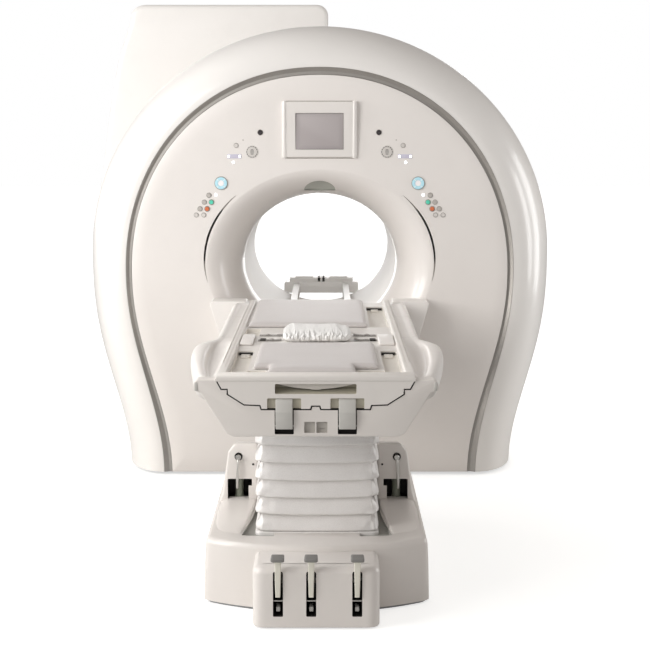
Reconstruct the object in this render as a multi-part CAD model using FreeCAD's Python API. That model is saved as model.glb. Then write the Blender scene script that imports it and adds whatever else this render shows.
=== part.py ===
import FreeCAD, Part
import math
import os

from FreeCAD import Vector

# MRI scanner with a docked patient table.  Millimetres.
# Frame: origin on the floor under the centre of the magnet, +Z up, +Y along the bore away from the
# table, +X to the right for someone who stands at the table's end.

# ---- driving dimensions ---------------------------------------------------------------------------
bore_width = 740.0              # clear ellipse that the patient passes through
bore_height = 650.0
bore_centre = 1000.0            # height of the bore's axis
flare_side = 160.0              # how far the mouth spreads on each side
flare_rise = 125.0              # and upwards
flare_depth = 300.0
mouth_edge_angle = 7.0          # the slight turn where the flat face enters the flare
gantry_length = 1500.0          # front plane to rear plane
cover_wall = 6.0
shell_wall = 8.0
cover_gap = 0.5                 # joint between two covers
floor_gap = 15.0                # under the covers

# outlines of the covers, as (half width, top, half width at the floor, waist height, roundness, sag)
panel_outline = (879.5, 1885.0, 699.5, 970.0, 2.1, 1.05)
trim_inner = (880.0, 1885.5, 700.0, 970.0, 2.1, 1.05)
trim_outer = (900.0, 1906.0, 738.0, 975.0, 2.1, 1.05)
shell_front = (896.0, 1902.0, 734.0, 975.0, 2.1, 1.05)
shell_widest = (1113.0, 2130.0, 938.0, 1050.0, 2.0, 1.3)
shell_rear = (1088.0, 2108.0, 915.0, 1050.0, 2.0, 1.3)
rear_edge = (930.0, 1940.0, 770.0, 1000.0, 2.1, 1.1)
shell_round = 345.0             # depth over which the shell turns from the front to the side
rear_round = 190.0
rear_start = 290.0              # where the rear cover takes over from the shell

turret_top = 2300.0
turret_right = 40.0
turret_front = 290.0
turret_rear = 735.0
turret_foot = 400.0             # where the turret's side runs into the rear cover

vessel_radius = 880.0
vessel_bore_radius = 480.0
vessel_length = 1200.0
vessel_wall = 12.0
helium_radius = 820.0
helium_bore_radius = 540.0
helium_length = 1080.0
helium_wall = 10.0
neck_x = -480.0
neck_y = 450.0
neck_radius = 110.0
neck_top = 2000.0

table_height = 857.0            # top of the cradle's rails
table_near = -2750.0            # near end of the table
table_far = -900.0              # far end of the cradle
cradle_width = 636.0
cradle_thickness = 72.0
cradle_rail_width = 30.0
cradle_rail_rise = 12.0
end_panel_length = 58.0
lift_travel = 270.0
fairing_wall = 6.0
mast_width = 180.0
mast_depth = 160.0
mast_y = -2040.0

base_width = 780.0
base_front = -2440.0            # front corners of the base
base_bow = 110.0                # how far its front bows forward between them
base_rear = -1450.0
base_height = 218.0
base_crown = 228.0
crown_slope = 44.0              # how far the crown draws in on the sides and the rear
base_wall = 5.0
base_corner = 60.0              # radius of the base's upright corners

bellows_width = 443.0
bellows_front = -2350.0
bellows_rear = -1720.0
bellows_folds = 6
fold_depth = 17.0
bellows_wall = 3.0

console_width = 420.0
tongue_low = 112.0              # lower end of a pedal's tongue before its slot
pad_low = 240.0                 # underside of a pedal's pad
pad_high = 254.0
console_front = -2700.0
console_height = 212.0
pedal_places = (-125.0, -16.0, 135.0)
pedal_width = 26.0
pedal_axle_y = -2572.0
pedal_axle_z = 130.0
pedal_axle_radius = 8.0
hub_radius = 16.0
slot_low = 44.0
slot_high = 196.0

seat_gap = 0.3                  # between pieces that rest on each other
slide_gap = 0.3                 # under the cradle's runners
runner_depth = 37.0             # how far the cradle's runners hang below it
runner_far = -1110.0            # far end of the runners
turning_gap = 0.05              # radial, of a pin in its hole

# ---- places worked out from them ------------------------------------------------------------------
front_plane = -gantry_length / 2
rear_plane = gantry_length / 2
half_a = bore_width / 2
half_b = bore_height / 2
cradle_under = table_height - cradle_thickness
cradle_deck = table_height - cradle_rail_rise
frame_under = 655.0             # underside of the end frame and the carriage
runner_under = cradle_under - runner_depth
guide_top = runner_under - slide_gap
guide_x = 140.0
guide_width = 36.0
cradle_near = table_near + end_panel_length

os.makedirs("parts", exist_ok=True)


# ---- helpers --------------------------------------------------------------------------------------
def box(x0, x1, y0, y1, z0, z1):
    return Part.makeBox(x1 - x0, y1 - y0, z1 - z0, Vector(x0, y0, z0))


def prism_xz(points, y0, y1):
    corners = [Vector(x, y0, z) for x, z in points]
    return Part.Face(Part.makePolygon(corners + corners[:1])).extrude(Vector(0, y1 - y0, 0))


def rod_x(y, z, radius, x0, x1):
    return Part.makeCylinder(radius, x1 - x0, Vector(x0, y, z), Vector(1, 0, 0))


def rod_y(x, z, radius, y0, y1):
    return Part.makeCylinder(radius, y1 - y0, Vector(x, y0, z), Vector(0, 1, 0))


def rod_z(x, y, radius, z0, z1):
    return Part.makeCylinder(radius, z1 - z0, Vector(x, y, z0), Vector(0, 0, 1))


def ellipse_wire(y, a, b, z=bore_centre):
    curve = Part.Ellipse(Vector(a, y, z), Vector(0, y, z + b), Vector(0, y, z)) if a > b else \
        Part.Ellipse(Vector(0, y, z + b), Vector(a, y, z), Vector(0, y, z))
    return Part.Wire(curve.toShape())


def oval(a, b, y0, y1):
    if abs(a - b) < 0.001:
        return rod_y(0, bore_centre, a, y0, y1)
    return Part.Face(ellipse_wire(y0, a, b)).extrude(Vector(0, y1 - y0, 0))


def ring(radius_out, radius_in, y0, y1):
    return oval(radius_out, radius_out, y0, y1).cut(oval(radius_in, radius_in, y0 - 1, y1 + 1))


def mirrored(shape):
    return shape.mirror(Vector(0, 0, 0), Vector(1, 0, 0))


def rounded(shape, radius, chosen):
    """Fillet the edges for which chosen(edge) is true."""
    return shape.makeFillet(radius, [edge for edge in shape.Edges if chosen(edge)])


def runs_along(axis):
    """A test for straight edges that run along X, Y or Z."""
    def chosen(edge):
        box_of_edge = edge.BoundBox
        lengths = (box_of_edge.XLength, box_of_edge.YLength, box_of_edge.ZLength)
        return lengths[axis] > 0.01 and sum(lengths) - lengths[axis] < 0.01
    return chosen


def save(name, *solids):
    pieces = [solid for shape in solids for solid in shape.Solids]
    shape = pieces[0] if len(pieces) == 1 else Part.makeCompound(pieces)
    shape.exportStep("parts/" + name + ".step")


# ---- cover outlines and the bore's mouth ----------------------------------------------------------
def mixed(start, end, share):
    return tuple(a + (b - a) * share for a, b in zip(start, end))


def inset(outline, distance):
    half, top, foot, waist, roundness, sag = outline
    return (half - distance, top - distance, foot - distance, waist, roundness, sag)


def arch_wire(outline, y, low=floor_gap):
    """An arch in a plane across the bore's axis: a round top, sides that draw in to the floor."""
    half, top, foot, waist, roundness, sag = outline
    side = []
    side_steps = 6
    for step in range(side_steps):
        z = floor_gap + (waist - floor_gap) * step / side_steps
        drop = (waist - z) / waist
        side.append((half - (half - foot) * (1 - math.cos(math.pi * drop ** sag)) / 2, z))
    round_steps = 9
    for step in range(round_steps):
        angle = math.pi / 2 * step / round_steps
        side.append((half * math.cos(angle) ** (2 / roundness),
                     waist + (top - waist) * math.sin(angle) ** (2 / roundness)))
    points = [Vector(x, y, z) for x, z in side] + [Vector(0, y, top)]
    points += [Vector(-x, y, z) for x, z in reversed(side)]
    curve = Part.BSplineCurve()
    curve.interpolate(points)
    ends = [points[-1], points[0]]
    if low < floor_gap:
        ends = [points[-1], Vector(points[-1].x, y, low), Vector(points[0].x, y, low), points[0]]
    lines = [Part.LineSegment(a, b).toShape() for a, b in zip(ends, ends[1:])]
    return Part.Wire([curve.toShape()] + lines)


def arch_prism(outline, y0, y1, low=floor_gap):
    return Part.Face(arch_wire(outline, y0, low)).extrude(Vector(0, y1 - y0, 0))


def arch_loft(stations, low=floor_gap, ruled=False):
    return Part.makeLoft([arch_wire(outline, y, low) for outline, y in stations], True, ruled)


def mouth_loft(offset, side):
    """The mouth's flare as a solid, offset from the visible surface into the cover; side is -1 at
    the front and 1 at the rear."""
    steps = 8
    first = math.radians(mouth_edge_angle)
    wires = []
    for step in range(steps + 1):
        angle = first + (math.pi / 2 - first) * step / steps
        spread = (1 - math.sin(angle)) / (1 - math.sin(first))
        depth = flare_depth * (1 - math.cos(angle) / math.cos(first))
        y = side * (gantry_length / 2 - offset * math.cos(angle) / math.cos(first) - depth)
        wires.append(ellipse_wire(y, half_a + flare_side * spread + offset * math.sin(angle),
                                  half_b + flare_rise * spread + offset * math.sin(angle)))
    return Part.makeLoft(wires, True, False)


def rounded_stations(inner, outer, plane, side, depth, wall):
    """Stations of a quarter round from a face at plane to the outline outer, inset by wall."""
    steps = 6
    stations = []
    for step in range(steps + 1):
        angle = math.pi / 2 * step / steps
        outline = inset(mixed(inner, outer, math.sin(angle)), wall * math.sin(angle))
        stations.append((outline, plane - side * (wall * math.cos(angle) + depth * (1 - math.cos(angle)))))
    return stations


# ---- magnet ---------------------------------------------------------------------------------------
def make_magnet_base():
    plate = box(-640, 640, -440, 440, 12, 44)
    saddle_half = 540.0
    body = plate
    for y in (-330, 330):
        saddle = box(-saddle_half, saddle_half, y - 60, y + 60, 44, 330)
        body = body.fuse(saddle.cut(oval(vessel_radius + seat_gap, vessel_radius + seat_gap, y - 70, y + 70)))
    for x in (-560, 0, 560):
        body = body.fuse(box(x - 70, x + 70, -440, 440, 0, 12))
    for x in (-590, 590):
        for y in (-390, 390):
            body = body.cut(rod_z(x, y, 11, -1, 60))
    save("magnet_base", body.removeSplitter())


def hollow_drum(outer, inner, length, wall):
    """A ring-shaped closed vessel with a cavity."""
    half = length / 2
    skin = ring(outer, inner, -half, half)
    return skin.cut(ring(outer - wall, inner + wall, -half + wall, half - wall))


def make_magnet():
    vessel = hollow_drum(vessel_radius, vessel_bore_radius, vessel_length, vessel_wall)
    helium = hollow_drum(helium_radius, helium_bore_radius, helium_length, helium_wall)
    neck_hole = rod_z(neck_x, neck_y, neck_radius - 20, bore_centre, neck_top)
    save("vacuum_vessel", vessel.cut(neck_hole))
    save("helium_vessel", helium)
    rods = []
    for y in (-420, 420):
        for angle in (40, 140, 220, 320):
            direction = Vector(math.cos(math.radians(angle)), 0, math.sin(math.radians(angle)))
            start = Vector(0, y, bore_centre) + direction * (helium_radius + seat_gap)
            reach = vessel_radius - vessel_wall - helium_radius - 2 * seat_gap
            rods.append(Part.makeCylinder(12, reach, start, direction))
    save("suspension_rods", *rods)
    main_radius = helium_bore_radius + helium_wall + seat_gap
    coils = [ring(main_radius + 85, main_radius, y - width / 2, y + width / 2)
             for y, width in ((-440, 120), (-240, 80), (-80, 60), (80, 60), (240, 80), (440, 120))]
    shield_radius = helium_radius - helium_wall - seat_gap
    coils += [ring(shield_radius, shield_radius - 60, y - 50, y + 50) for y in (-430, 430)]
    save("magnet_coils", *coils)


def make_cold_head():
    neck = rod_z(neck_x, neck_y, neck_radius, bore_centre, neck_top)
    neck = neck.fuse(rod_z(neck_x, neck_y, neck_radius + 35, neck_top - 25, neck_top))
    neck = neck.cut(rod_z(neck_x, neck_y, neck_radius - 15, bore_centre - 1, neck_top + 1))
    neck = neck.cut(oval(vessel_radius + seat_gap, vessel_radius + seat_gap, 0, 700))
    save("service_neck", neck)
    head = rod_z(neck_x, neck_y, neck_radius + 30, neck_top, neck_top + 30)
    head = head.fuse(rod_z(neck_x, neck_y, 62, neck_top + 30, neck_top + 170))
    head = head.fuse(box(neck_x - 85, neck_x + 85, neck_y - 55, neck_y + 55, neck_top + 110, neck_top + 230))
    save("cold_head", head.removeSplitter())


def make_bore_coils():
    gradient_a = half_a + 30
    gradient_b = half_b + 30
    gradient_radius = vessel_bore_radius - 0.4
    gradient = oval(gradient_radius, gradient_radius, -560, 560).cut(oval(gradient_a, gradient_b, -561, 561))
    save("gradient_coil", gradient)
    coil_length = 880.0
    y = coil_length / 2
    tube = oval(half_a + 22, half_b + 22, -y, y)
    for side in (-1, 1):
        end = side * (y - 15)
        tube = tube.fuse(oval(gradient_a - 0.4, gradient_b - 0.4, end - 15, end + 15))
    save("rf_body_coil", tube.cut(oval(half_a + 16, half_b + 16, -y - 1, y + 1)).removeSplitter())
    liner_end = gantry_length / 2 - flare_depth - cover_gap
    liner = oval(half_a + 6, half_b + 6, -liner_end, liner_end)
    for end in (-y + 20, y - 20):
        liner = liner.fuse(oval(half_a + 15.6, half_b + 15.6, end - 12, end + 12))
    save("bore_liner", liner.cut(oval(half_a, half_b, -liner_end - 1, liner_end + 1)).removeSplitter())


def make_bore_bridge():
    """Two rails on the liner's floor that carry the cradle, and the raised box at the rear end."""
    within = oval(half_a - seat_gap, half_b - seat_gap, front_plane, rear_plane)
    rails = [box(x - guide_width / 2, x + guide_width / 2, front_plane + 2, rear_plane - 50, 600, guide_top)
             .common(within) for x in (-guide_x, guide_x)]
    bridge = box(-214, 214, rear_plane - 50, rear_plane + 110, 690, 753)
    bridge = bridge.fuse(box(-182, 182, rear_plane - 50, rear_plane + 90, 753, 776)).fuse(rails)
    bridge = bridge.cut(box(-22, 22, rear_plane - 60, rear_plane + 60, 735, 800))
    for x in (-12, 12):
        bridge = bridge.fuse(box(x - 4, x + 4, rear_plane - 20, rear_plane + 50, 735, 778))
    bridge = bridge.fuse(box(-12, 12, rear_plane + 10, rear_plane + 20, 752, 762))
    save("bore_bridge", bridge.removeSplitter())


# ---- gantry covers --------------------------------------------------------------------------------
window_half = 70.0
window_low = 1349.0
window_rise = 44.0


def window_prism(grow):
    """A half-moon along Y: flat below, round above."""
    a = window_half + grow
    b = window_rise + grow
    low = window_low - grow
    arc = Part.Arc(Vector(a, 0, 0), Vector(0, 0, b), Vector(-a, 0, 0)) if a == b else None
    ellipse = Part.Ellipse(Vector(a, front_plane - 10, low), Vector(0, front_plane - 10, low + b),
                           Vector(0, front_plane - 10, low))
    whole = Part.Face(Part.Wire((arc or ellipse).toShape())).extrude(Vector(0, 200, 0))
    return whole.common(box(-a - 1, a + 1, front_plane - 20, front_plane + 200, low, low + b + 1))


def make_front_cover():
    back = front_plane + cover_wall
    body = arch_prism(panel_outline, front_plane, back)
    body = body.fuse(mouth_loft(cover_wall, -1)).cut(mouth_loft(0, -1))
    body = body.cut(window_prism(0))
    groove = oval(half_a + flare_side + 8, half_b + flare_rise + 14, front_plane - 1, front_plane + 3)
    groove = groove.cut(oval(half_a + flare_side + 1, half_b + flare_rise + 22,
                             front_plane - 2, front_plane + 4))
    groove = groove.common(box(-600, 600, front_plane - 2, front_plane + 4, 905, 1345))
    body = body.cut(groove)
    save("front_cover", body)
    window = window_prism(6).common(mouth_loft(cover_wall + 9, -1)).cut(mouth_loft(cover_wall + seat_gap, -1))
    save("alignment_window", window.common(box(-100, 100, front_plane + cover_wall + 0.3, -560, 1300, 1500)))


def make_trim_strip():
    strip = arch_prism(trim_outer, front_plane - 2, front_plane + 20)
    save("trim_strip", strip.cut(arch_prism(trim_inner, front_plane - 3, front_plane + 21, -50)))


def make_outer_shell():
    turn = rounded_stations(shell_front, shell_widest, front_plane, -1, shell_round, 0)
    rear = rear_start - cover_gap
    outer = arch_loft(turn).fuse(arch_loft([turn[-1], (shell_rear, rear)], ruled=True))
    turn_in = rounded_stations(shell_front, shell_widest, front_plane, -1, shell_round, shell_wall)
    inner = arch_loft(turn_in, -50).fuse(
        arch_loft([turn_in[-1], (inset(shell_rear, shell_wall), rear)], -50, ruled=True))
    hole = arch_prism(inset(trim_outer, -cover_gap), front_plane - 5, front_plane + shell_wall + 1, -50)
    save("outer_shell", outer.cut(inner).cut(hole).removeSplitter())


def rear_solid(wall, low=floor_gap):
    """The rear cover's filled outside, or with a wall its filled inside."""
    turn = rounded_stations(rear_edge, shell_rear, rear_plane, 1, rear_round, wall)
    return arch_loft(turn, low).fuse(
        arch_loft([turn[-1], (inset(shell_rear, wall), rear_start)], low, ruled=True))


def make_rear_cover():
    inside = rear_solid(shell_wall, -50)
    body = rear_solid(0).cut(inside)
    body = body.fuse(mouth_loft(shell_wall, 1)).cut(mouth_loft(0, 1))
    reach = neck_radius + 50
    body = body.cut(box(neck_x - reach, neck_x + reach, rear_start - 10, neck_y + reach, 1500, 2200))
    save("rear_cover", body.removeSplitter())


def turret_outline(wall):
    """The turret seen from the front: it leans out to the left and tucks in under the widest point."""
    left = [(-1019, 2244), (-1087, 2022), (-1139, 1749), (-1188, 1389), (-1234, 1090), (-1205, 800),
            (-1115, 540), (-975, turret_foot)]
    left = [(x + wall, z) for x, z in left]
    top = turret_top - wall
    right = turret_right - wall
    side = Part.BSplineCurve()
    side.interpolate([Vector(x, 0, z) for x, z in left])
    start, end = left[0], left[-1]
    corner = Part.Arc(Vector(-940, 0, top), Vector(-996 + wall * 0.7, 0, top - 18),
                      Vector(start[0], 0, start[1]))
    edge_radius = 60
    shoulder = edge_radius * (1 - math.sqrt(0.5))
    edges = [side.toShape(), corner.toShape(),
             Part.LineSegment(Vector(-940, 0, top), Vector(right - edge_radius, 0, top)).toShape(),
             Part.Arc(Vector(right - edge_radius, 0, top), Vector(right - shoulder, 0, top - shoulder),
                      Vector(right, 0, top - edge_radius)).toShape(),
             Part.LineSegment(Vector(right, 0, top - edge_radius), Vector(right, 0, end[1])).toShape(),
             Part.LineSegment(Vector(right, 0, end[1]), Vector(end[0], 0, end[1])).toShape()]
    return Part.Face(Part.Wire(Part.__sortEdges__(edges)))


def make_turret_cover():
    depth = turret_rear - turret_front
    outer = turret_outline(0).extrude(Vector(0, depth, 0))
    outer.translate(Vector(0, turret_front, 0))
    inner = turret_outline(shell_wall).extrude(Vector(0, depth - 2 * shell_wall, 0))
    inner.translate(Vector(0, turret_front + shell_wall, 0))
    body = outer.cut(inner).cut(rear_solid(-cover_gap, -50))
    save("turret_cover", max(body.Solids, key=lambda solid: solid.Volume))


def make_dock_fairing():
    """The ledge under the bore that the table docks to, open in the middle for the cradle."""
    shape = [(-440, 610), (440, 610), (506, 835), (496, 845), (338, 845), (306, guide_top - 1),
             (-306, guide_top - 1), (-338, 845), (-496, 845), (-506, 835)]
    fairing = prism_xz(shape, front_plane - 110, front_plane - seat_gap)
    save("dock_fairing", fairing)


# ---- panel on the front cover ---------------------------------------------------------------------
key_radius = 10.0
ring_button_radius = 28.0
collar_width = 2.0
collar_rise = 4.0
button_gap = 0.3
button_travel = 1.0
screen_centre = 1625.0
key_places = ((515, 1329), (537, 1297), (557, 1266), (540, 1237), (575, 1237), (387, 1560))
button_places = {"start": (458, 1385, ring_button_radius), "home": (504, 1297, key_radius),
                 "stop": (524, 1266, key_radius)}


def make_display():
    bezel = box(-173, 173, front_plane - 26, front_plane - seat_gap, 1500, 1765)
    bezel = rounded(bezel, 16, runs_along(1))
    bezel = bezel.cut(box(-113, 113, front_plane - 30, front_plane - 16,
                          screen_centre - 86, screen_centre + 86))
    save("display_bezel", bezel)
    save("display_screen", box(-112, 112, front_plane - 21, front_plane - 16 - seat_gap / 2,
                               screen_centre - 85, screen_centre + 85))


def make_panel():
    back = front_plane - seat_gap
    windows = []
    grilles = []
    lamps = []
    collars = []
    keys = []
    for side in (-1, 1):
        windows.append(rod_y(side * 275, 1620, 12, back - 3, back))
        windows.append(box(side * 396 - 33, side * 396 + 33, back - 2, back, 1499, 1520))
        grille = rod_y(side * 313, 1530, 29, back - 3, back)
        for radius in (25, 17):
            groove = rod_y(side * 313, 1530, radius, back - 4, back - 1.5)
            grille = grille.cut(groove.cut(rod_y(side * 313, 1530, radius - 4, back - 5, back)))
        grilles.append(grille)
        for x, z, radius in ((400, 1482, 5), (482, 1330, 6), (355, 1585, 4)):
            lamps.append(rod_y(side * x, z, radius, back - 2, back))
        for x, z in key_places:
            keys.append(rod_y(side * x, z, key_radius, back - 4, back))
        for place in button_places.values():
            x, z, radius = place
            collar = rod_y(side * x, z, radius + button_gap + collar_width, back - collar_rise, back)
            collars.append(collar.cut(rod_y(side * x, z, radius + button_gap, back - 10, back + 1)))
        word = "left" if side < 0 else "right"
        for name, (x, z, radius) in button_places.items():
            rear = front_plane - button_travel - button_gap
            save(name + "_button_" + word, rod_y(side * x, z, radius, rear - 5, rear))
    save("panel_windows", *windows)
    save("intercom_grilles", *grilles)
    save("indicator_lamps", *lamps)
    save("membrane_keys", *keys)
    save("button_collars", *collars)


# ---- table base -----------------------------------------------------------------------------------
def base_wire(half, front, rear, z):
    """Plan of the base at height z: straight sides and rear, a bowed front."""
    left = Vector(-half, front, z)
    right = Vector(half, front, z)
    edges = [Part.Arc(left, Vector(0, front - base_bow, z), right).toShape(),
             Part.LineSegment(right, Vector(half, rear, z)).toShape(),
             Part.LineSegment(Vector(half, rear, z), Vector(-half, rear, z)).toShape(),
             Part.LineSegment(Vector(-half, rear, z), left).toShape()]
    return Part.Wire(edges)


def base_column(wall, low, high):
    """The base's outline from low to high, inset by wall, with rounded upright corners."""
    half = base_width / 2 - wall
    plan = Part.Face(base_wire(half, base_front + wall, base_rear - wall, low))
    column = plan.extrude(Vector(0, 0, high - low))
    return rounded(column, base_corner - wall, runs_along(2))


def base_block(wall, low):
    """The base as a solid, inset by wall: upright sides, then a crown that slopes up to the bellows."""
    half = base_width / 2 - wall
    front = base_front + wall
    rear = base_rear - wall
    height = base_height - wall
    wires = [base_wire(half - slope, front + slope, rear - slope, z)
             for slope, z in ((8.0, height - 10), (8.0, height), (crown_slope, base_crown - wall))]
    crown = Part.makeLoft(wires, True, True).common(base_column(wall, low, base_crown))
    return base_column(wall, low, height).fuse(crown)


def make_base():
    fit = base_wall + seat_gap
    plate = base_column(fit, 0, 24)
    for y in (mast_y - 200, mast_y + 260):
        plate = plate.fuse(box(-340, 340, y - 25, y + 25, 24, 70))
    save("base_frame", plate.removeSplitter())
    body = base_block(0, 6).cut(base_block(base_wall, -20))
    body = body.cut(box(-190, 190, bellows_front + 30, bellows_rear - 30, 100, 400))
    save("base_cover", body.removeSplitter())


def make_mast():
    half_x = mast_width / 2
    half_y = mast_depth / 2
    top = frame_under - lift_travel - 10
    outer = box(-half_x, half_x, mast_y - half_y, mast_y + half_y, 24, top)
    wall = 8.0
    outer = outer.cut(box(-half_x + wall, half_x - wall, mast_y - half_y + wall, mast_y + half_y - wall,
                          32, top + 1))
    save("lift_mast_outer", outer)
    inner_x = half_x - wall - 0.5
    inner_y = half_y - wall - 0.5
    inner = box(-inner_x, inner_x, mast_y - inner_y, mast_y + inner_y, 34 + lift_travel, frame_under)
    inner = inner.cut(box(-inner_x + wall, inner_x - wall, mast_y - inner_y + wall, mast_y + inner_y - wall,
                          0, frame_under - wall))
    save("lift_mast_inner", inner)


def make_bellows():
    low = base_crown + seat_gap
    high = frame_under - seat_gap

    def stack(wall, z0, z1):
        wires = []
        for step in range(2 * bellows_folds + 1):
            draw = fold_depth if step % 2 else 0.0
            half = bellows_width / 2 - draw - wall
            y0 = bellows_front + draw + wall
            y1 = bellows_rear - draw - wall
            z = z0 + (z1 - z0) * step / (2 * bellows_folds)
            corners = [Vector(-half, y0, z), Vector(half, y0, z), Vector(half, y1, z), Vector(-half, y1, z)]
            wires.append(Part.makePolygon(corners + corners[:1]))
        return Part.makeLoft(wires, True, True)

    inner = stack(bellows_wall, low, high)
    save("bellows", stack(0, low, high).cut(inner))


pod_outline = ((226, base_height - 28), (356, base_height - 28), (334, base_height + 214),
               (316, base_height + 232), (226, base_height + 232))
pod_front = -2000.0
pod_rear = -1810.0
slot_sill = base_height + 22     # pod slots
slot_head = base_height + 100
rod_height = base_height + 186


def make_pods():
    pods = []
    struts = []
    keep = base_block(-seat_gap, 0)
    middle = 299.0
    for side in (-1, 1):
        body = prism_xz(pod_outline, pod_front, pod_rear).cut(keep)
        body = body.cut(box(268, 330, pod_front - 1, pod_front + 80, slot_sill, slot_head))
        body = body.cut(rod_y(middle, rod_height, 13, pod_front - 1, pod_front + 60))
        pods.append(body if side > 0 else mirrored(body))
        cylinder = rod_z(middle, pod_front + 40, 17, slot_sill + seat_gap, slot_head - seat_gap)
        rod = rod_y(middle, rod_height, 5, pod_front - 12, pod_front + 60 - seat_gap)
        rod = rod.fuse(rod_z(middle, pod_front - 12, 5, slot_sill + 40, rod_height + 5)).removeSplitter()
        for piece in (cylinder, rod):
            struts.append(piece if side > 0 else mirrored(piece))
    save("dock_pods", *pods)
    save("dock_struts", *struts)


# ---- pedals ---------------------------------------------------------------------------------------
def console_block(wall, low):
    half = console_width / 2 - wall
    block = box(-half, half, console_front + wall, base_front - base_bow + 60, low, console_height - wall)
    front = lambda edge: edge.BoundBox.YMax < console_front + wall + 0.01 and edge.BoundBox.ZLength > 100
    return rounded(block, 40 - wall, front)


def make_console():
    body = console_block(0, 6).cut(console_block(5, -20)).cut(base_column(-cover_gap, 0, 400))
    for x in pedal_places:
        half = pedal_width / 2 + 4
        body = body.cut(box(x - half, x + half, console_front - 5, console_front + 10, slot_low, slot_high))
    hole = rod_x(pedal_axle_y, pedal_axle_z, pedal_axle_radius + turning_gap, -400, 400)
    save("pedal_console", body.cut(hole).removeSplitter())
    reach = console_width / 2 - 0.2
    save("pedal_axle", rod_x(pedal_axle_y, pedal_axle_z, pedal_axle_radius, -reach, reach))


def make_pedals():
    back = console_front - 2.0
    for place, word in zip(pedal_places, ("left", "middle", "right")):
        x0 = place - pedal_width / 2
        x1 = place + pedal_width / 2
        tongue = box(x0 + 2, x1 - 2, back - 6, back, tongue_low, pad_low - seat_gap / 3)
        arm = box(x0 + 6, x1 - 6, back - 1, pedal_axle_y - 10, pedal_axle_z - 10, pedal_axle_z + 10)
        hub = rod_x(pedal_axle_y, pedal_axle_z, hub_radius, x0, x1)
        body = tongue.fuse([arm, hub])
        body = body.cut(rod_x(pedal_axle_y, pedal_axle_z, pedal_axle_radius + turning_gap, x0 - 5, x1 + 5))
        save("pedal_" + word, body.removeSplitter())
        pad = box(place - 22, place + 22, back - 40, back + 6, pad_low, pad_high)
        pad = rounded(pad, 5, lambda edge: edge.BoundBox.ZLength > 5)
        save("pedal_pad_" + word, pad)


# ---- carriage -------------------------------------------------------------------------------------
def fairing_wire(y, half, skirt):
    """Section of the right side fairing: shoulder, bulging side and skirt, of even wall."""
    outer = [(336, 842), (half - 34, 838), (half - 8, 824), (half, 800), (half - 6, 752), (half - 34, skirt)]
    wall = fairing_wall
    inner = [(half - 34 - wall, skirt), (half - 6 - wall, 752), (half - wall, 800), (half - 10 - wall, 820),
             (half - 36, 838 - wall), (336, 842 - wall)]
    points = [Vector(x, y, z) for x, z in outer + inner]
    return Part.makePolygon(points + points[:1])


fairing_low = 706.0
fairing_stations = ((-2560, 412), (-2420, 431), (-2250, 450), (-2120, 459), (-2040, 455), (-1935, 400),
                    (-1800, 394), (-1400, 397), (-1100, 398))
bar_places = ((cradle_near + cover_gap + 30, 397), (-1620, 395.5), (-1240, 397.5),
              (front_plane - 110 - cover_gap - 64, 399.5))     # cross bars, with half widths there


def make_side_fairings():
    far = front_plane - 110 - cover_gap
    stations = ((cradle_near + cover_gap, 392),) + fairing_stations + ((far, 400),)
    fairing = Part.makeLoft([fairing_wire(y, half, fairing_low) for y, half in stations], True, True)
    save("side_fairings", fairing, mirrored(fairing))


def make_carriage():
    far = front_plane - 110 - cover_gap - 4
    near = cradle_near + cover_gap
    body = box(-214, 214, near, far, frame_under, frame_under + 10)
    for x in (-206, 206):
        body = body.fuse(box(x - 8, x + 8, near, far, frame_under + 10, 706))
    for y, half in bar_places:
        reach = half - 36
        body = body.fuse(box(-reach, reach, y - 20, y + 20, fairing_low - 26, fairing_low))
    save("carriage_frame", body.removeSplitter())
    guides = []
    for x in (-guide_x, guide_x):
        rail = box(x - guide_width / 2, x + guide_width / 2, near, far, frame_under + 10, guide_top)
        for y, _ in bar_places:
            rail = rail.cut(box(-400, 400, y - 20.3, y + 20.3, 670, fairing_low + 0.3))
        guides.append(rail)
    save("cradle_guides", *guides)


end_gap_outline = ((-332, 900), (-332, 845), (-300, 797), (-250, 752), (-180, 742), (-150, 735),
                   (150, 735), (180, 742), (250, 752), (300, 797), (332, 845), (332, 900))
lever_places = (-101.0, 101.0)
lever_width = 56.0
lever_axle_z = 690.0


def make_end_frame():
    outline = ((-265, frame_under), (265, frame_under), (300, 668), (377, 796), (391, 800), (391, 824),
               (380, 840), (-380, 840), (-391, 824), (-391, 800), (-377, 796), (-300, 668))
    body = prism_xz(outline, table_near + 4, cradle_near)
    body = body.cut(prism_xz(end_gap_outline, table_near, cradle_near + 5))
    body = body.cut(box(-37, 37, table_near, table_near + 16, 669, 706))
    body = body.fuse(box(-2, 2, table_near + 6, table_near + 18, 668, 707))
    levers = []
    for x in lever_places:
        half = lever_width / 2
        body = body.cut(box(x - half - 1, x + half + 1, table_near, table_near + 26, 665, 740))
        rise = box(x - half, x + half, table_near - 10, table_near - 1, lever_axle_z, 782)
        root = box(x - half, x + half, table_near - 10, table_near + 12, lever_axle_z - 12, lever_axle_z + 12)
        pivot = rod_x(table_near + 14, lever_axle_z, 8, x - half, x + half)
        lever = rise.fuse([root.cut(box(-400, 400, table_near + 12, 0, 0, 999)), pivot])
        lever = rounded(lever.removeSplitter(), 3,
                        lambda edge: edge.BoundBox.ZMin > 781 and edge.BoundBox.XLength > 9)
        levers.append(lever.cut(rod_x(table_near + 14, lever_axle_z, 3 + turning_gap, -400, 400)))
        body = body.fuse(rod_x(table_near + 14, lever_axle_z, 3, x - half - 2, x + half + 2))
    save("end_frame", body.removeSplitter())
    save("latch_lever_left", levers[0])
    save("latch_lever_right", levers[1])


# ---- cradle ---------------------------------------------------------------------------------------
grip_half = 130.0
socket_x = cradle_width / 2 - 64
socket_places = ((-socket_x, -2330.0), (-socket_x, -1940.0), (socket_x, -2200.0), (socket_x, -1085.0))


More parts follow.
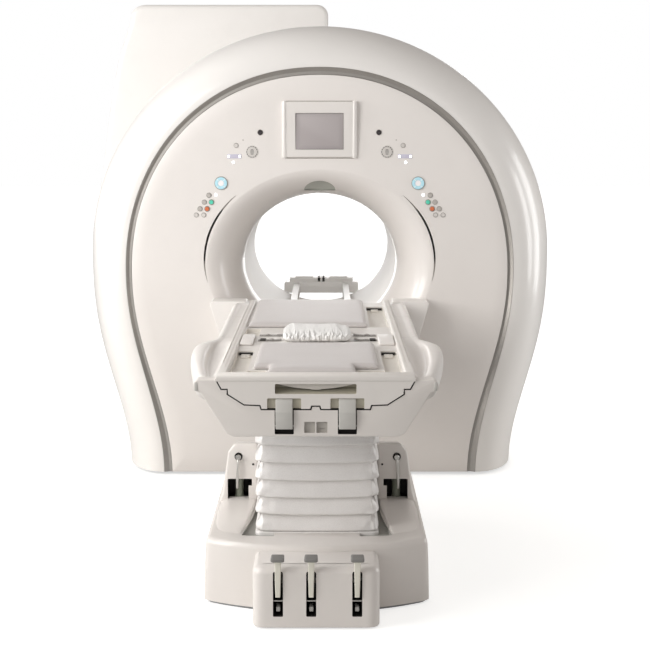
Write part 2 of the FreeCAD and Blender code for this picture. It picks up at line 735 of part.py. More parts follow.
def make_cradle():
    half = cradle_width / 2
    section = [(-half, table_height), (-half, 846), (28 - half, 808), (56 - half, cradle_under),
               (half - 56, cradle_under), (half - 28, 808), (half, 846), (half, table_height),
               (half - cradle_rail_width, table_height), (half - cradle_rail_width, cradle_deck),
               (cradle_rail_width - half, cradle_deck), (cradle_rail_width - half, table_height)]
    board = prism_xz(section, cradle_near, table_far)
    sockets = []
    for x, y in socket_places:
        board = board.cut(box(x - 29, x + 29, y - 60, y + 60, cradle_deck - 22, cradle_deck + 1))
        socket = box(x - 28.7, x + 28.7, y - 59.7, y + 59.7, cradle_deck - 21.7, cradle_deck + 2)
        sockets.append(socket.cut(box(x - 20, x + 20, y - 46, y + 46, cradle_deck - 16, cradle_deck + 3)))
    for x in (-guide_x, guide_x):
        board = board.fuse(box(x - guide_width / 2, x + guide_width / 2, cradle_near, runner_far,
                               runner_under, cradle_under))
    save("cradle_board", board.removeSplitter())
    save("coil_sockets", *sockets)
    panel = prism_xz([(-half, table_height), (-half, 846), (-290, 803), (-236, 759), (-150, 748), (150, 748),
                      (236, 759), (290, 803), (half, 846), (half, table_height)], table_near, cradle_near)
    panel = panel.cut(box(-grip_half, grip_half, table_near - 1, table_near + 42, 796, 829))
    for x in lever_places:
        panel = panel.cut(box(x - 55, x + 55, table_near - 1, table_near + 10, 740, 785))
    save("cradle_end_panel", panel)
    paddle = box(-grip_half + 2, grip_half - 2, table_near + 26, table_near + 34, 796.5, 826)
    paddle = paddle.fuse(box(-20, 20, table_near + 34, table_near + 41.7, 804, 820))
    save("grip_paddle", paddle.removeSplitter())


def cushion(x0, x1, y0, y1, thickness):
    low = cradle_deck + seat_gap
    return rounded(box(x0, x1, y0, y1, low, low + thickness), 6, lambda edge: True)


def make_pads():
    half = cradle_width / 2
    save("head_pad", cushion(36 - half, half - 118, -1670, -918, 20))
    save("foot_pad", cushion(106 - half, half - 106, cradle_near + 4, -2130, 22))
    save("rolled_pad", cushion(180 - half, half - 180, -2075, -1765, 42))
    straps = []
    for side in (-1, 1):
        for y in (-1985, -1870):
            middle = side * (half - 134)
            straps.append(box(middle - 40, middle + 40, y - 19, y + 19,
                              cradle_deck + seat_gap, cradle_deck + 5))
    save("straps", *straps)


make_magnet_base()
make_magnet()
make_cold_head()
make_bore_coils()
make_bore_bridge()
make_front_cover()
make_trim_strip()
make_outer_shell()
make_rear_cover()
make_turret_cover()
make_dock_fairing()
make_display()
make_panel()
make_base()
make_mast()
make_bellows()
make_pods()
make_console()
make_pedals()
make_side_fairings()
make_carriage()
make_end_frame()
make_cradle()
make_pads()
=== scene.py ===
from math import acos, atan2, cos, exp, hypot, pi, radians, sin, sqrt

import bmesh
import bpy
from mathutils import Matrix, Vector, noise


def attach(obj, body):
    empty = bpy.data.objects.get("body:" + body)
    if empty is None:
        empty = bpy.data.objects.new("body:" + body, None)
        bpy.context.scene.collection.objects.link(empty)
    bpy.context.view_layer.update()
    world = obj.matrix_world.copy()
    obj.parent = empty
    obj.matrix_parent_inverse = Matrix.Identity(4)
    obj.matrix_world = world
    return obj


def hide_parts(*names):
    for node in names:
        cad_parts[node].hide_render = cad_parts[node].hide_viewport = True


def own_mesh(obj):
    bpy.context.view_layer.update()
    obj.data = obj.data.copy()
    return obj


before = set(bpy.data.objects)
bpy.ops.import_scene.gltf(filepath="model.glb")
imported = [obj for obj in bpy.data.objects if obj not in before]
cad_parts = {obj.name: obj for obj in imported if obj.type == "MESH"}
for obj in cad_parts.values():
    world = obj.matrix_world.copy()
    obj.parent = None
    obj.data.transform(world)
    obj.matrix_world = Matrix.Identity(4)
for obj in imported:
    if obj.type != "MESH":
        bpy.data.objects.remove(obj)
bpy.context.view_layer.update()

# MRI scanner with its patient table. Shapes are written in millimetres and made in metres.
# Origin on the floor under the magnet, +Z up, +Y along the bore away from the table.

MM = 0.001
# A point from a pair across an axis and a distance along it.
PLACES = {"x": lambda a, b, t: (t, a, b), "y": lambda a, b, t: (a, t, b), "z": lambda a, b, t: (a, b, t)}


# ---- shapes: (corner points, faces, finish number of each face) ------------------------------------
class Shape:
    """Points and faces of a piece, in millimetres, with a finish number for each face."""

    def __init__(self, points=(), faces=(), finish=0):
        self.points = [Vector(p) for p in points]
        self.faces = [tuple(f) for f in faces]
        self.finishes = [finish] * len(self.faces)

    def add(self, other):
        start = len(self.points)
        self.points += [p.copy() for p in other.points]
        self.faces += [tuple(start + i for i in face) for face in other.faces]
        self.finishes += other.finishes
        return self

    def moved(self, x=0.0, y=0.0, z=0.0):
        return self.turned(Matrix.Translation((x, y, z)))

    def turned(self, matrix):
        other = Shape()
        other.points = [matrix @ p for p in self.points]
        other.faces, other.finishes = list(self.faces), list(self.finishes)
        return other

    def mirrored(self):
        return self.turned(Matrix.Scale(-1, 4, (1, 0, 0)))

    def painted(self, finish):
        self.finishes = [finish] * len(self.faces)
        return self


def joined(*shapes):
    whole = Shape()
    for shape in shapes:
        whole.add(shape)
    return whole


def both_sides(shape):
    return joined(shape, shape.mirrored())


def rows_shape(rows, around=False, wrap=True, caps=True):
    """A grid of quads on rows of points. around joins each row's ends, wrap joins the last row to
    the first, and caps close what is left open with one face at each end."""
    count = len(rows[0])
    points = [point for row in rows for point in row]
    faces = []
    last_row = len(rows) if wrap else len(rows) - 1
    last_column = count if around else count - 1
    for i in range(last_row):
        below = ((i + 1) % len(rows)) * count
        for k in range(last_column):
            next_k = (k + 1) % count
            faces.append((i * count + k, i * count + next_k, below + next_k, below + k))
    if caps and wrap and not around:
        faces.append(tuple(i * count for i in range(len(rows))))
        faces.append(tuple(i * count + count - 1 for i in reversed(range(len(rows)))))
    if caps and around and not wrap:
        faces.append(tuple(range(count)))
        faces.append(tuple(reversed(range((len(rows) - 1) * count, len(rows) * count))))
    return Shape(points, faces)


def prism(outline, low, high, axis="y"):
    """A closed outline pushed from low to high along an axis; the outline's pairs are the other two."""
    place = PLACES[axis]
    return rows_shape([[place(a, b, t) for a, b in outline] for t in (low, high)], around=True, wrap=False)


def rectangle(x0, x1, z0, z1):
    return [(x0, z0), (x1, z0), (x1, z1), (x0, z1)]


def block(x0, x1, y0, y1, z0, z1):
    return prism(rectangle(x0, x1, z0, z1), y0, y1)


def lathe(profile, centre, axis="y", steps=48):
    """A turned shape: profile holds (radius, distance along the axis) and starts and ends on the axis."""
    place = PLACES[axis]
    rings = [[place(radius * cos(2 * pi * k / steps), radius * sin(2 * pi * k / steps), along)
              for k in range(steps)] for radius, along in profile[1:-1]]
    shape = rows_shape(rings, around=True, wrap=False, caps=False)
    for (radius, along), ring in ((profile[0], 0), (profile[-1], len(rings) - 1)):
        tip = len(shape.points)
        shape.points.append(Vector(place(0.0, 0.0, along)))
        for k in range(steps):
            shape.faces.append((ring * steps + k, ring * steps + (k + 1) % steps, tip))
            shape.finishes.append(0)
    return shape.moved(*centre)


def loft(sections):
    """A closed solid through closed sections with the same number of points."""
    return rows_shape(sections, around=True, wrap=False)


def curve_through(values, places, at):
    """Smooth value at a place, through values given at rising places."""
    if at <= places[0]:
        return values[0]
    if at >= places[-1]:
        return values[-1]
    i = max(k for k in range(len(places) - 1) if places[k] <= at)
    share = (at - places[i]) / (places[i + 1] - places[i])
    before, after = values[max(i - 1, 0)], values[min(i + 2, len(values) - 1)]
    a, b = values[i], values[i + 1]
    return 0.5 * (2 * a + (b - before) * share + (2 * before - 5 * a + 4 * b - after) * share ** 2
                  + (3 * a - before - 3 * b + after) * share ** 3)


def rounded_outline(outline, radii, steps=6):
    """A closed outline of corners with each corner rounded by its radius."""
    if not hasattr(radii, "__len__"):
        radii = [radii] * len(outline)
    made = []
    count = len(outline)
    for i, radius in enumerate(radii):
        corner = Vector(outline[i])
        back = Vector(outline[i - 1]) - corner
        ahead = Vector(outline[(i + 1) % count]) - corner
        if radius <= 0:
            made.append(tuple(corner))
            continue
        half = acos(max(-1, min(1, back.normalized() @ ahead.normalized()))) / 2
        run = min(radius / max(0.05, abs(sin(half) / cos(half)) if half < 1.57 else 99), back.length * 0.48,
                  ahead.length * 0.48)
        start = corner + back.normalized() * run
        end = corner + ahead.normalized() * run
        for step in range(steps + 1):
            t = step / steps
            made.append(tuple(start * (1 - t) ** 2 + corner * 2 * t * (1 - t) + end * t ** 2))
    return made


def grown(outline, distance):
    """A closed outline moved outwards by distance (inwards when it is negative)."""
    count = len(outline)
    area = sum(outline[i - 1][0] * outline[i][1] - outline[i][0] * outline[i - 1][1] for i in range(count))
    sign = 1 if area > 0 else -1
    made = []
    for i in range(count):
        before, here, after = (Vector(outline[k % count]) for k in (i - 1, i, i + 1))
        along = (here - before).normalized() + (after - here).normalized()
        if along.length < 1e-6:
            along = here - before
        along.normalize()
        turn = max(0.4, ((here - before).normalized() @ along))
        made.append((here.x + sign * along.y * distance / turn, here.y - sign * along.x * distance / turn))
    return made


def soft_slab(outline, low, high, edge, axis="y", steps=4, both=True):
    """A prism whose rims are rounded by edge; outline is the widest section."""
    place = PLACES[axis]
    rims = [(edge * (1 - sin(pi / 2 * k / steps)), edge * (1 - cos(pi / 2 * k / steps)))
            for k in range(steps + 1)]
    rows = [(low + along, inwards) for inwards, along in rims]
    if both:
        rows += [(high - along, inwards) for inwards, along in reversed(rims)]
    else:
        rows.append((high, 0.0))
    return loft([[place(a, b, t) for a, b in (grown(outline, -inwards) if inwards else outline)]
                 for t, inwards in rows])


def tube(path, radius, steps=16, ends=True):
    """A round bar along a line of points, with domed ends."""
    path = [Vector(p) for p in path]
    rings = []
    side = None
    places = []
    for i, point in enumerate(path):
        ahead = (path[min(i + 1, len(path) - 1)] - path[max(i - 1, 0)]).normalized()
        if side is None:
            side = ahead.orthogonal().normalized()
        side = (side - ahead * side.dot(ahead)).normalized()
        places.append((point, ahead, side, radius))
    if ends:
        first, last = places[0], places[-1]
        places.insert(0, (first[0] - first[1] * radius * 0.5, first[1], first[2], radius * 0.7))
        places.append((last[0] + last[1] * radius * 0.5, last[1], last[2], radius * 0.7))
    for point, ahead, side, size in places:
        up = ahead.cross(side)
        rings.append([point + side * size * cos(2 * pi * k / steps) + up * size * sin(2 * pi * k / steps)
                      for k in range(steps)])
    return loft(rings)


# ---- pieces ----------------------------------------------------------------------------------------
def bare_object(name, shape):
    mesh = bpy.data.meshes.new(name)
    mesh.from_pydata([p * MM for p in shape.points], [], shape.faces)
    for face, finish in zip(mesh.polygons, shape.finishes):
        face.material_index = finish
    work = bmesh.new()
    work.from_mesh(mesh)
    bmesh.ops.recalc_face_normals(work, faces=work.faces)
    work.to_mesh(mesh)
    work.free()
    thing = bpy.data.objects.new(name, mesh)
    bpy.context.scene.collection.objects.link(thing)
    return thing


def applied(thing):
    """Replaces the object's mesh with what its modifiers make of it."""
    bpy.context.view_layer.update()
    made = bpy.data.meshes.new_from_object(thing.evaluated_get(bpy.context.evaluated_depsgraph_get()))
    thing.modifiers.clear()
    thing.data = made
    return thing


def piece(name, body, slot, finishes, shape, stands_for=(), cuts=(), edge=0.0, steps=2, crease=32,
          smooth=0, settle=True):
    """Makes one piece of the object: the shape less its cuts, with its edges rounded by edge mm."""
    thing = bare_object(name, shape)
    for finish in finishes if isinstance(finishes, (list, tuple)) else [finishes]:
        thing.data.materials.append(finish)
    for number, cut in enumerate(cuts):
        cutter = bare_object(f"cutter{number}", cut)
        if len(thing.data.materials) > 1:
            for finish in thing.data.materials:
                cutter.data.materials.append(finish)
        change = thing.modifiers.new("cut", "BOOLEAN")
        change.operation, change.solver, change.object = "DIFFERENCE", "EXACT", cutter
        applied(thing)
        bpy.data.objects.remove(cutter)
    if edge:
        change = thing.modifiers.new("edge", "BEVEL")
        change.width, change.segments = edge * MM, steps
        change.limit_method, change.angle_limit = "ANGLE", radians(crease)
        change.harden_normals = False
        applied(thing)
    if smooth:
        change = thing.modifiers.new("smooth", "SUBSURF")
        change.levels = change.render_levels = smooth
        applied(thing)
    thing.data.shade_smooth()
    thing.data.set_sharp_from_angle(angle=radians(crease))
    if edge and settle:
        change = thing.modifiers.new("settle", "WEIGHTED_NORMAL")
        change.keep_sharp = True
        applied(thing)
    thing.data.name = name
    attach(thing, body)
    if stands_for:
        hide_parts(*([stands_for] if isinstance(stands_for, str) else stands_for))
    return thing


# ---- finishes --------------------------------------------------------------------------------------
class Wire:
    """A socket in a finish's nodes. Arithmetic on it adds Math nodes."""

    def __init__(self, finish, socket):
        self.finish, self.socket = finish, socket

    def math(self, operation, *terms, clamp=False):
        return self.finish.node("ShaderNodeMath", {"operation": operation, "use_clamp": clamp},
                                dict(enumerate(terms)))

    def __add__(self, other):
        return self.math("ADD", self, other)

    def __sub__(self, other):
        return self.math("SUBTRACT", self, other)

    def __rsub__(self, other):
        return self.math("SUBTRACT", other, self)

    def __mul__(self, other):
        return self.math("MULTIPLY", self, other)

    __radd__ = __add__
    __rmul__ = __mul__

    def held(self, low, high):
        """Spread from low..high to 0..1 and clamped."""
        return self.finish.node("ShaderNodeMapRange", {"clamp": True}, {0: self, 1: low, 2: high})

    def wave(self):
        return self.math("SINE", self)


class Finish:
    """A material of nodes around one Principled shader; constants are set on the shader itself."""

    def __init__(self, name, **constants):
        self.material = bpy.data.materials.new(name)
        self.material.use_nodes = True
        self.tree = self.material.node_tree
        self.shader = next(n for n in self.tree.nodes if n.type == "BSDF_PRINCIPLED")
        for socket, value in constants.items():
            self.shader.inputs[socket.replace("_", " ")].default_value = value

    def node(self, kind, settings=None, sockets=None, output=0):
        node = self.tree.nodes.new(kind)
        for setting, value in (settings or {}).items():
            if setting == "stops":
                stops = node.color_ramp.elements
                while len(stops) < len(value):
                    stops.new(0.5)
                for stop, (place, colour) in zip(stops, value):
                    stop.position, stop.color = place, (*colour, 1)
            else:
                setattr(node, setting, value)
        for socket, value in (sockets or {}).items():
            self.feed(node.inputs[socket], value)
        return Wire(self, node.outputs[output])

    def feed(self, socket, value):
        if isinstance(value, Wire):
            self.tree.links.new(value.socket, socket)
        else:
            socket.default_value = value

    def place(self, stretch=(1, 1, 1)):
        """Position on the object in metres, scaled by stretch."""
        spot = self.node("ShaderNodeTexCoord", output="Object")
        return self.node("ShaderNodeMapping", {}, {"Vector": spot, "Scale": stretch})

    def axis(self, which):
        spot = self.node("ShaderNodeTexCoord", output="Object")
        return self.node("ShaderNodeSeparateXYZ", {}, {0: spot}, output="XYZ".index(which))

    def noise(self, scale, detail=2.0, rough=0.5, stretch=(1, 1, 1)):
        return self.node("ShaderNodeTexNoise", {}, {"Vector": self.place(stretch), "Scale": scale,
                                                    "Detail": detail, "Roughness": rough})

    def cells(self, scale, feature="F1", stretch=(1, 1, 1)):
        return self.node("ShaderNodeTexVoronoi", {"feature": feature}, {"Vector": self.place(stretch),
                                                                        "Scale": scale})

    def mix(self, share, a, b):
        a, b = ((*c, 1) if isinstance(c, tuple) and len(c) == 3 else c for c in (a, b))
        return self.node("ShaderNodeMix", {"data_type": "RGBA"}, {0: share, 6: a, 7: b}, output=2)

    def shaded(self, colour=None, roughness=None, height=None, depth=0.0005, strength=1.0, **more):
        for socket, value in (("Base Color", colour), ("Roughness", roughness), *more.items()):
            if value is not None:
                self.feed(self.shader.inputs[socket.replace("_", " ")], value)
        if height is not None:
            bump = self.node("ShaderNodeBump", {}, {"Height": height, "Strength": strength, "Distance": depth})
            self.feed(self.shader.inputs["Normal"], bump)
        return self.material


def tinted(colour, factor):
    return tuple(min(1.0, c * factor) for c in colour)


def moulded(name, colour, rough=0.35, peel=0.00012, peel_scale=380, coat=0.0, spread=0.03, grime=0.0,
            low_shade=None, **constants):
    """Painted or moulded covers: cloudy tone, fine orange peel, uneven gloss, and painted shade darkening them
    towards the floor.
    """
    made = Finish(name, Coat_Weight=coat, Coat_Roughness=0.12, **constants)
    cloud = made.noise(3.1, 3.0, 0.55)
    fleck = made.noise(900, 2.0, 0.6)
    tone = made.mix(cloud, tinted(colour, 1 - spread), tinted(colour, 1 + spread))
    tone = made.mix(fleck.held(0.55, 0.9) * 0.12, tone, tinted(colour, 0.8))
    # painted shade: the tone darkens towards a shade colour lower down, most at the floor
    if low_shade:
        lowness = 1 - made.axis("Z").held(0.0, 1.1)
        tone = made.mix(lowness * (0.45 + 0.35 * made.noise(1.7, 3.0, 0.6)), tone, low_shade)
    if grime:
        smudge = made.noise(11, 5.0, 0.65).held(0.52, 0.74)
        tone = made.mix(smudge * grime, tone, tinted(colour, 0.72))
    wear = made.noise(26, 4.0, 0.6)
    roughness = rough - 0.05 + 0.1 * wear + 0.05 * cloud
    return made.shaded(tone, roughness, made.noise(peel_scale, 2.0, 0.5), peel, 0.7)


def grained(name, colour, dark, scale=420, rough=0.5, depth=0.0003, sheen=0.0, tone_scale=9):
    """Vinyl with a fine pebble grain, slightly uneven in tone."""
    made = Finish(name, Sheen_Weight=sheen, Sheen_Roughness=0.5)
    pebble = made.cells(scale)
    cloud = made.noise(tone_scale, 4.0, 0.6)
    tone = made.mix(cloud, dark, colour)
    tone = made.mix(pebble.held(0.25, 0.75) * 0.25, tone, tinted(dark, 0.82))
    height = (1 - pebble) + 0.6 * made.noise(60, 3.0, 0.5)
    return made.shaded(tone, rough - 0.07 + 0.16 * cloud, height, depth, 0.8)


def metal(name, colour, rough=0.3, stretch=(1, 1, 12), scale=60, metallic=1.0, depth=0.00008, dark=0.75):
    """Brushed or cast metal with streaks and dull patches."""
    made = Finish(name, Metallic=metallic)
    streak = made.noise(scale, 4.0, 0.7, stretch)
    patch = made.noise(7, 4.0, 0.6)
    tone = made.mix(streak, tinted(colour, dark), colour)
    tone = made.mix(patch.held(0.5, 0.75) * 0.3, tone, tinted(colour, dark * 0.9))
    return made.shaded(tone, rough - 0.08 + 0.2 * patch + 0.08 * streak, streak, depth, 0.6)


def woven(name, colour, dark, pitch=0.0012, rough=0.85, depth=0.0004, sheen=0.35, fuzz=140):
    """Cloth or webbing: two crossed ribs, a little fuzz and uneven dye."""
    made = Finish(name, Sheen_Weight=sheen, Sheen_Roughness=0.45)
    turn = 2 * pi / pitch
    across = (made.axis("X") * turn).wave() * 0.5 + 0.5
    along = ((made.axis("Y") + made.axis("Z")) * turn).wave() * 0.5 + 0.5
    weave = across * (1 - along) + along * (1 - across)
    cloud = made.noise(14, 4.0, 0.6)
    tone = made.mix(weave, dark, colour)
    tone = made.mix(cloud * 0.35, tone, tinted(colour, 0.86))
    return made.shaded(tone, rough, weave + 0.8 * made.noise(fuzz, 4.0, 0.7), depth, 0.9)


def lit(name, colour, glow, strength):
    """A lit lens or key: coloured plastic with an uneven glow."""
    made = Finish(name, Emission_Strength=strength, Coat_Weight=0.4, Coat_Roughness=0.1)
    cloud = made.noise(90, 3.0, 0.6)
    tone = made.mix(cloud * 0.4, colour, tinted(colour, 0.8))
    shine = made.mix(cloud * 0.5, glow, tinted(glow, 0.7))
    return made.shaded(tone, 0.28 + 0.1 * cloud, made.noise(500), 0.0001, 0.5, Emission_Color=shine)


WHITE = (0.80, 0.765, 0.735)
# the darker tones given for low down on these covers are painted shade towards the floor
cover_paint = moulded("cover_gloss", WHITE, 0.30, coat=0.35, low_shade=(0.66, 0.61, 0.565), grime=0.05)
shell_paint = moulded("shell_gloss", (0.80, 0.78, 0.755), 0.28, coat=0.4, low_shade=(0.70, 0.665, 0.625),
                      grime=0.05)
turret_paint = moulded("turret_gloss", (0.80, 0.78, 0.755), 0.34, coat=0.25, low_shade=(0.72, 0.69, 0.65),
                       grime=0.05)
liner_paint = moulded("liner_satin", (0.80, 0.775, 0.745), 0.42, peel=0.0001)
trim_metal = metal("trim_grey", (0.42, 0.40, 0.375), 0.34, (1, 1, 1), 150, metallic=0.75, dark=0.8)
# darker grey for the floors of the crescent grooves: painted shade in the grooves
groove_dark = moulded("groove_dark", (0.34, 0.315, 0.29), 0.6, peel=0.0003, peel_scale=200)
# near black: the real colour of the bridge contacts and strap slides, and painted shade on slot and gap walls,
# slits and holes
recess_dark = moulded("recess_dark", (0.022, 0.020, 0.018), 0.65, peel=0.0003, peel_scale=200)
fairing_paint = moulded("fairing_gloss", (0.78, 0.75, 0.72), 0.40, coat=0.12, grime=0.08)
frame_paint = moulded("frame_cream", (0.72, 0.685, 0.65), 0.38, coat=0.15, grime=0.1)
cradle_paint = moulded("cradle_shell", (0.74, 0.71, 0.675), 0.46, coat=0.05, grime=0.1)
tray_paint = moulded("tray_cream", (0.74, 0.705, 0.65), 0.5, grime=0.12)
# darker cream for the grip and lever recesses: painted shade inside them
recess_cream = moulded("recess_cream", (0.52, 0.49, 0.40), 0.5, grime=0.15)
base_paint = moulded("base_cream", (0.78, 0.755, 0.725), 0.34, coat=0.2, low_shade=(0.62, 0.575, 0.54),
                     grime=0.16)
bezel_paint = moulded("bezel_plastic", (0.78, 0.75, 0.72), 0.33, coat=0.25)
# whiter than the other covers: painted light on the box that sits deep in the bore
brightened_bridge_paint = moulded("bridge_plastic", (0.88, 0.865, 0.84), 0.36, coat=0.15)
tongue_paint = moulded("lever_cream", (0.68, 0.66, 0.58), 0.42, grime=0.2)
key_plastic = moulded("key_grey", (0.50, 0.47, 0.44), 0.42, peel=0.0002)
pale_key = moulded("key_pale", (0.66, 0.63, 0.60), 0.42, peel=0.0002)
collar_plastic = moulded("collar_plastic", (0.36, 0.335, 0.31), 0.38)
grille_plastic = moulded("grille_grey", (0.64, 0.61, 0.58), 0.45)
# a thin dark ring round the display body on the face: painted shadow line
display_shadow_paint = moulded("display_seal", (0.30, 0.27, 0.245), 0.6)
# near black on the grille slits and round the rods' holes: painted shade of openings
slit_shade = moulded("slit_grey", (0.07, 0.066, 0.06), 0.55)
latch_paint = moulded("latch_grey", (0.54, 0.53, 0.50), 0.4, peel=0.0002, grime=0.2)
# darker cream for the two small recesses in the end frame: painted shade
socket_cream = moulded("socket_cream", (0.50, 0.475, 0.44), 0.5)
# dark grey for the trenches beside the bellows: painted shade, with random grime
trench_grey = moulded("trench_grey", (0.34, 0.335, 0.31), 0.5, grime=0.3)
rubber = moulded("pedal_rubber", (0.205, 0.20, 0.19), 0.62, peel=0.0005, peel_scale=260, grime=0.3)
strut_paint = moulded("strut_grey", (0.20, 0.215, 0.17), 0.38, grime=0.25)
vinyl = grained("bellows_vinyl", (0.84, 0.825, 0.81), (0.76, 0.735, 0.715), 300, 0.34, 0.00018, 0.1, 6)
pad_cover = grained("pad_vinyl", (0.585, 0.55, 0.54), (0.55, 0.52, 0.505), 520, 0.48, 0.00022, 0.15)
roll_cloth = woven("roll_fabric", (0.92, 0.915, 0.90), (0.80, 0.79, 0.77), 0.0016)
webbing = woven("strap_web", (0.27, 0.245, 0.22), (0.13, 0.115, 0.10), 0.0022)
steel = metal("base_steel", (0.40, 0.41, 0.42), 0.45, (1, 1, 1), 40)
vessel_metal = metal("vessel_steel", (0.56, 0.56, 0.555), 0.38, (1, 8, 1), 30)
copper = metal("coil_copper", (0.62, 0.33, 0.18), 0.4, (1, 14, 1), 90)
rod_fibre = grained("rod_fibre", (0.42, 0.36, 0.20), (0.30, 0.25, 0.13), 240, 0.5)
head_metal = metal("cold_head_metal", (0.50, 0.50, 0.51), 0.35, (1, 1, 1), 80)
resin = grained("coil_resin", (0.36, 0.30, 0.17), (0.24, 0.20, 0.11), 160, 0.45)
pin_metal = metal("pin_steel", (0.66, 0.65, 0.62), 0.25, (12, 1, 1), 120)
aluminium = metal("guide_aluminium", (0.70, 0.70, 0.69), 0.32, (1, 16, 1), 70)
glass_dark = Finish("dark_window", IOR=1.5, Coat_Weight=1.0, Coat_Roughness=0.05)
glass_dark = glass_dark.shaded(glass_dark.mix(glass_dark.noise(240), (0.012, 0.009, 0.010),
                                              (0.03, 0.02, 0.024)), 0.12 + 0.1 * glass_dark.noise(60))
lamp_lens = lit("lamp_white", (0.9, 0.92, 0.95), (0.86, 0.90, 1.0), 2.6)
ring_blue = lit("ring_blue", (0.42, 0.66, 0.74), (0.34, 0.60, 0.70), 0.30)
ring_pale = lit("ring_pale", (0.80, 0.78, 0.78), (0.85, 0.76, 0.78), 0.25)
key_green = lit("button_green", (0.10, 0.62, 0.44), (0.10, 0.60, 0.44), 0.12)
key_orange = lit("button_orange", (0.62, 0.17, 0.07), (0.80, 0.20, 0.08), 0.10)
small_display = lit("small_display", (0.50, 0.48, 0.56), (0.60, 0.58, 0.72), 0.22)
# tinted glass whose colour is painted darker towards the top: painted shade
shaded_window_glass = Finish("window_tint", Coat_Weight=0.6, Coat_Roughness=0.08)
shaded_window_glass = shaded_window_glass.shaded(shaded_window_glass.mix(shaded_window_glass.axis("Z").held(1.345, 1.395),
                                                    (0.56, 0.585, 0.53), (0.36, 0.365, 0.33)),
                                   0.2 + 0.1 * shaded_window_glass.noise(120))


def screen_finish():
    """An unlit display under glass: a painted lilac-grey sheen that falls off towards its edges, a painted
    diagonal shade, and a faint painted glow.
    """
    # the emission is a painted glow on an unlit screen; the edge falloff and diagonal gradient are painted
    # sheen and shade
    made = Finish("screen_glass", Coat_Weight=1.0, Coat_Roughness=0.04, Emission_Strength=0.12)
    across = (made.axis("X") * (1 / 0.112))
    up = (made.axis("Z") - 1.625) * (1 / 0.085)
    edge = (across * across).math("MAXIMUM", across * across, up * up)
    tone = made.mix(edge.held(0.55, 1.0) * 0.55, (0.40, 0.365, 0.365), (0.27, 0.25, 0.25))
    tone = made.mix((across + up).held(-1.6, 1.6) * 0.5, tone, (0.32, 0.29, 0.285))
    tone = made.mix(made.noise(700, 2.0, 0.5) * 0.06, tone, (0.2, 0.2, 0.22))
    return made.shaded(tone, 0.16 + 0.05 * made.noise(40), made.noise(900), 0.00003, 0.4, Emission_Color=tone)


screen_glass = screen_finish()


# ---- gantry covers ---------------------------------------------------------------------------------
AXIS = 1000.0                       # height of the bore's axis
BORE = (370.0, 325.0)               # the clear ellipse's half width and half height
FLARE = (160.0, 125.0)
FLARE_DEPTH = 300.0
FLARE_START = radians(7)
FRONT, REAR = -750.0, 750.0
SIDE_END, TURN_END = 289.5, -405.0
LOW = 15.0                          # under the covers

# outlines: half width, top, half width at the floor, waist height, roundness, sag
PANEL = (879.5, 1885.0, 699.5, 970.0, 2.1, 1.05)
STRIP_IN = (880.2, 1885.7, 700.2, 970.0, 2.1, 1.05)
STRIP_MID = (893.0, 1902.0, 715.0, 972.0, 2.1, 1.05)
STRIP_OUT = (907.0, 1920.0, 737.5, 975.0, 2.1, 1.05)
SHELL_IN = (907.6, 1920.6, 738.1, 975.0, 2.1, 1.05)
SHELL_WIDE = (1113.0, 2130.0, 938.0, 1050.0, 2.0, 1.3)
SHELL_BACK = (1088.0, 2108.0, 915.0, 1050.0, 2.0, 1.3)
REAR_FACE = (930.0, 1940.0, 770.0, 1000.0, 2.1, 1.1)


def arch(outline, inwards=0.0, low=LOW, side=26, crown=72):
    """Points (x, z) of an outline from its right foot over the top to its left foot."""
    half, top, foot, waist, roundness, sag = outline
    half, top, foot = half - inwards, top - inwards, foot - inwards
    right = []
    for step in range(side):
        z = low + (waist - low) * step / side
        drop = (waist - z) / waist
        right.append((half - (half - foot) * (1 - cos(pi * drop ** sag)) / 2, z))
    for step in range(crown):
        angle = pi / 2 * step / crown
        right.append((half * cos(angle) ** (2 / roundness), waist
                      + (top - waist) * sin(angle) ** (2 / roundness)))
    return right + [(0.0, top)] + [(-x, z) for x, z in reversed(right)]


def blended(a, b, share):
    return tuple(p + (q - p) * share for p, q in zip(a, b))


def arch_row(outline, y, inwards=0.0):
    return [(x, y, z) for x, z in arch(outline, inwards)]


def make_trim_strip():
    """A channel round the front cover: a sunken dark floor, then a slope up to the shell."""
    profile = ((STRIP_IN, 0, -748.5), (STRIP_IN, -0.4, -749.4), (STRIP_IN, -1.2, -749.5),
               (STRIP_IN, -2.4, -744.0), (STRIP_MID, 1.0, -742.6), (STRIP_MID, -1.0, -743.5),
               (STRIP_OUT, 2.4, -751.0), (STRIP_OUT, 1.2, -751.7), (STRIP_OUT, 0.3, -751.2),
               (STRIP_OUT, 0, -749.8), (STRIP_OUT, 0, -732), (STRIP_IN, 0, -732))
    piece("trim_channel", "gantry", "trim_grey", trim_metal,
          rows_shape([arch_row(outline, y, inwards) for outline, inwards, y in profile]),
          stands_for="trim_strip", crease=28)


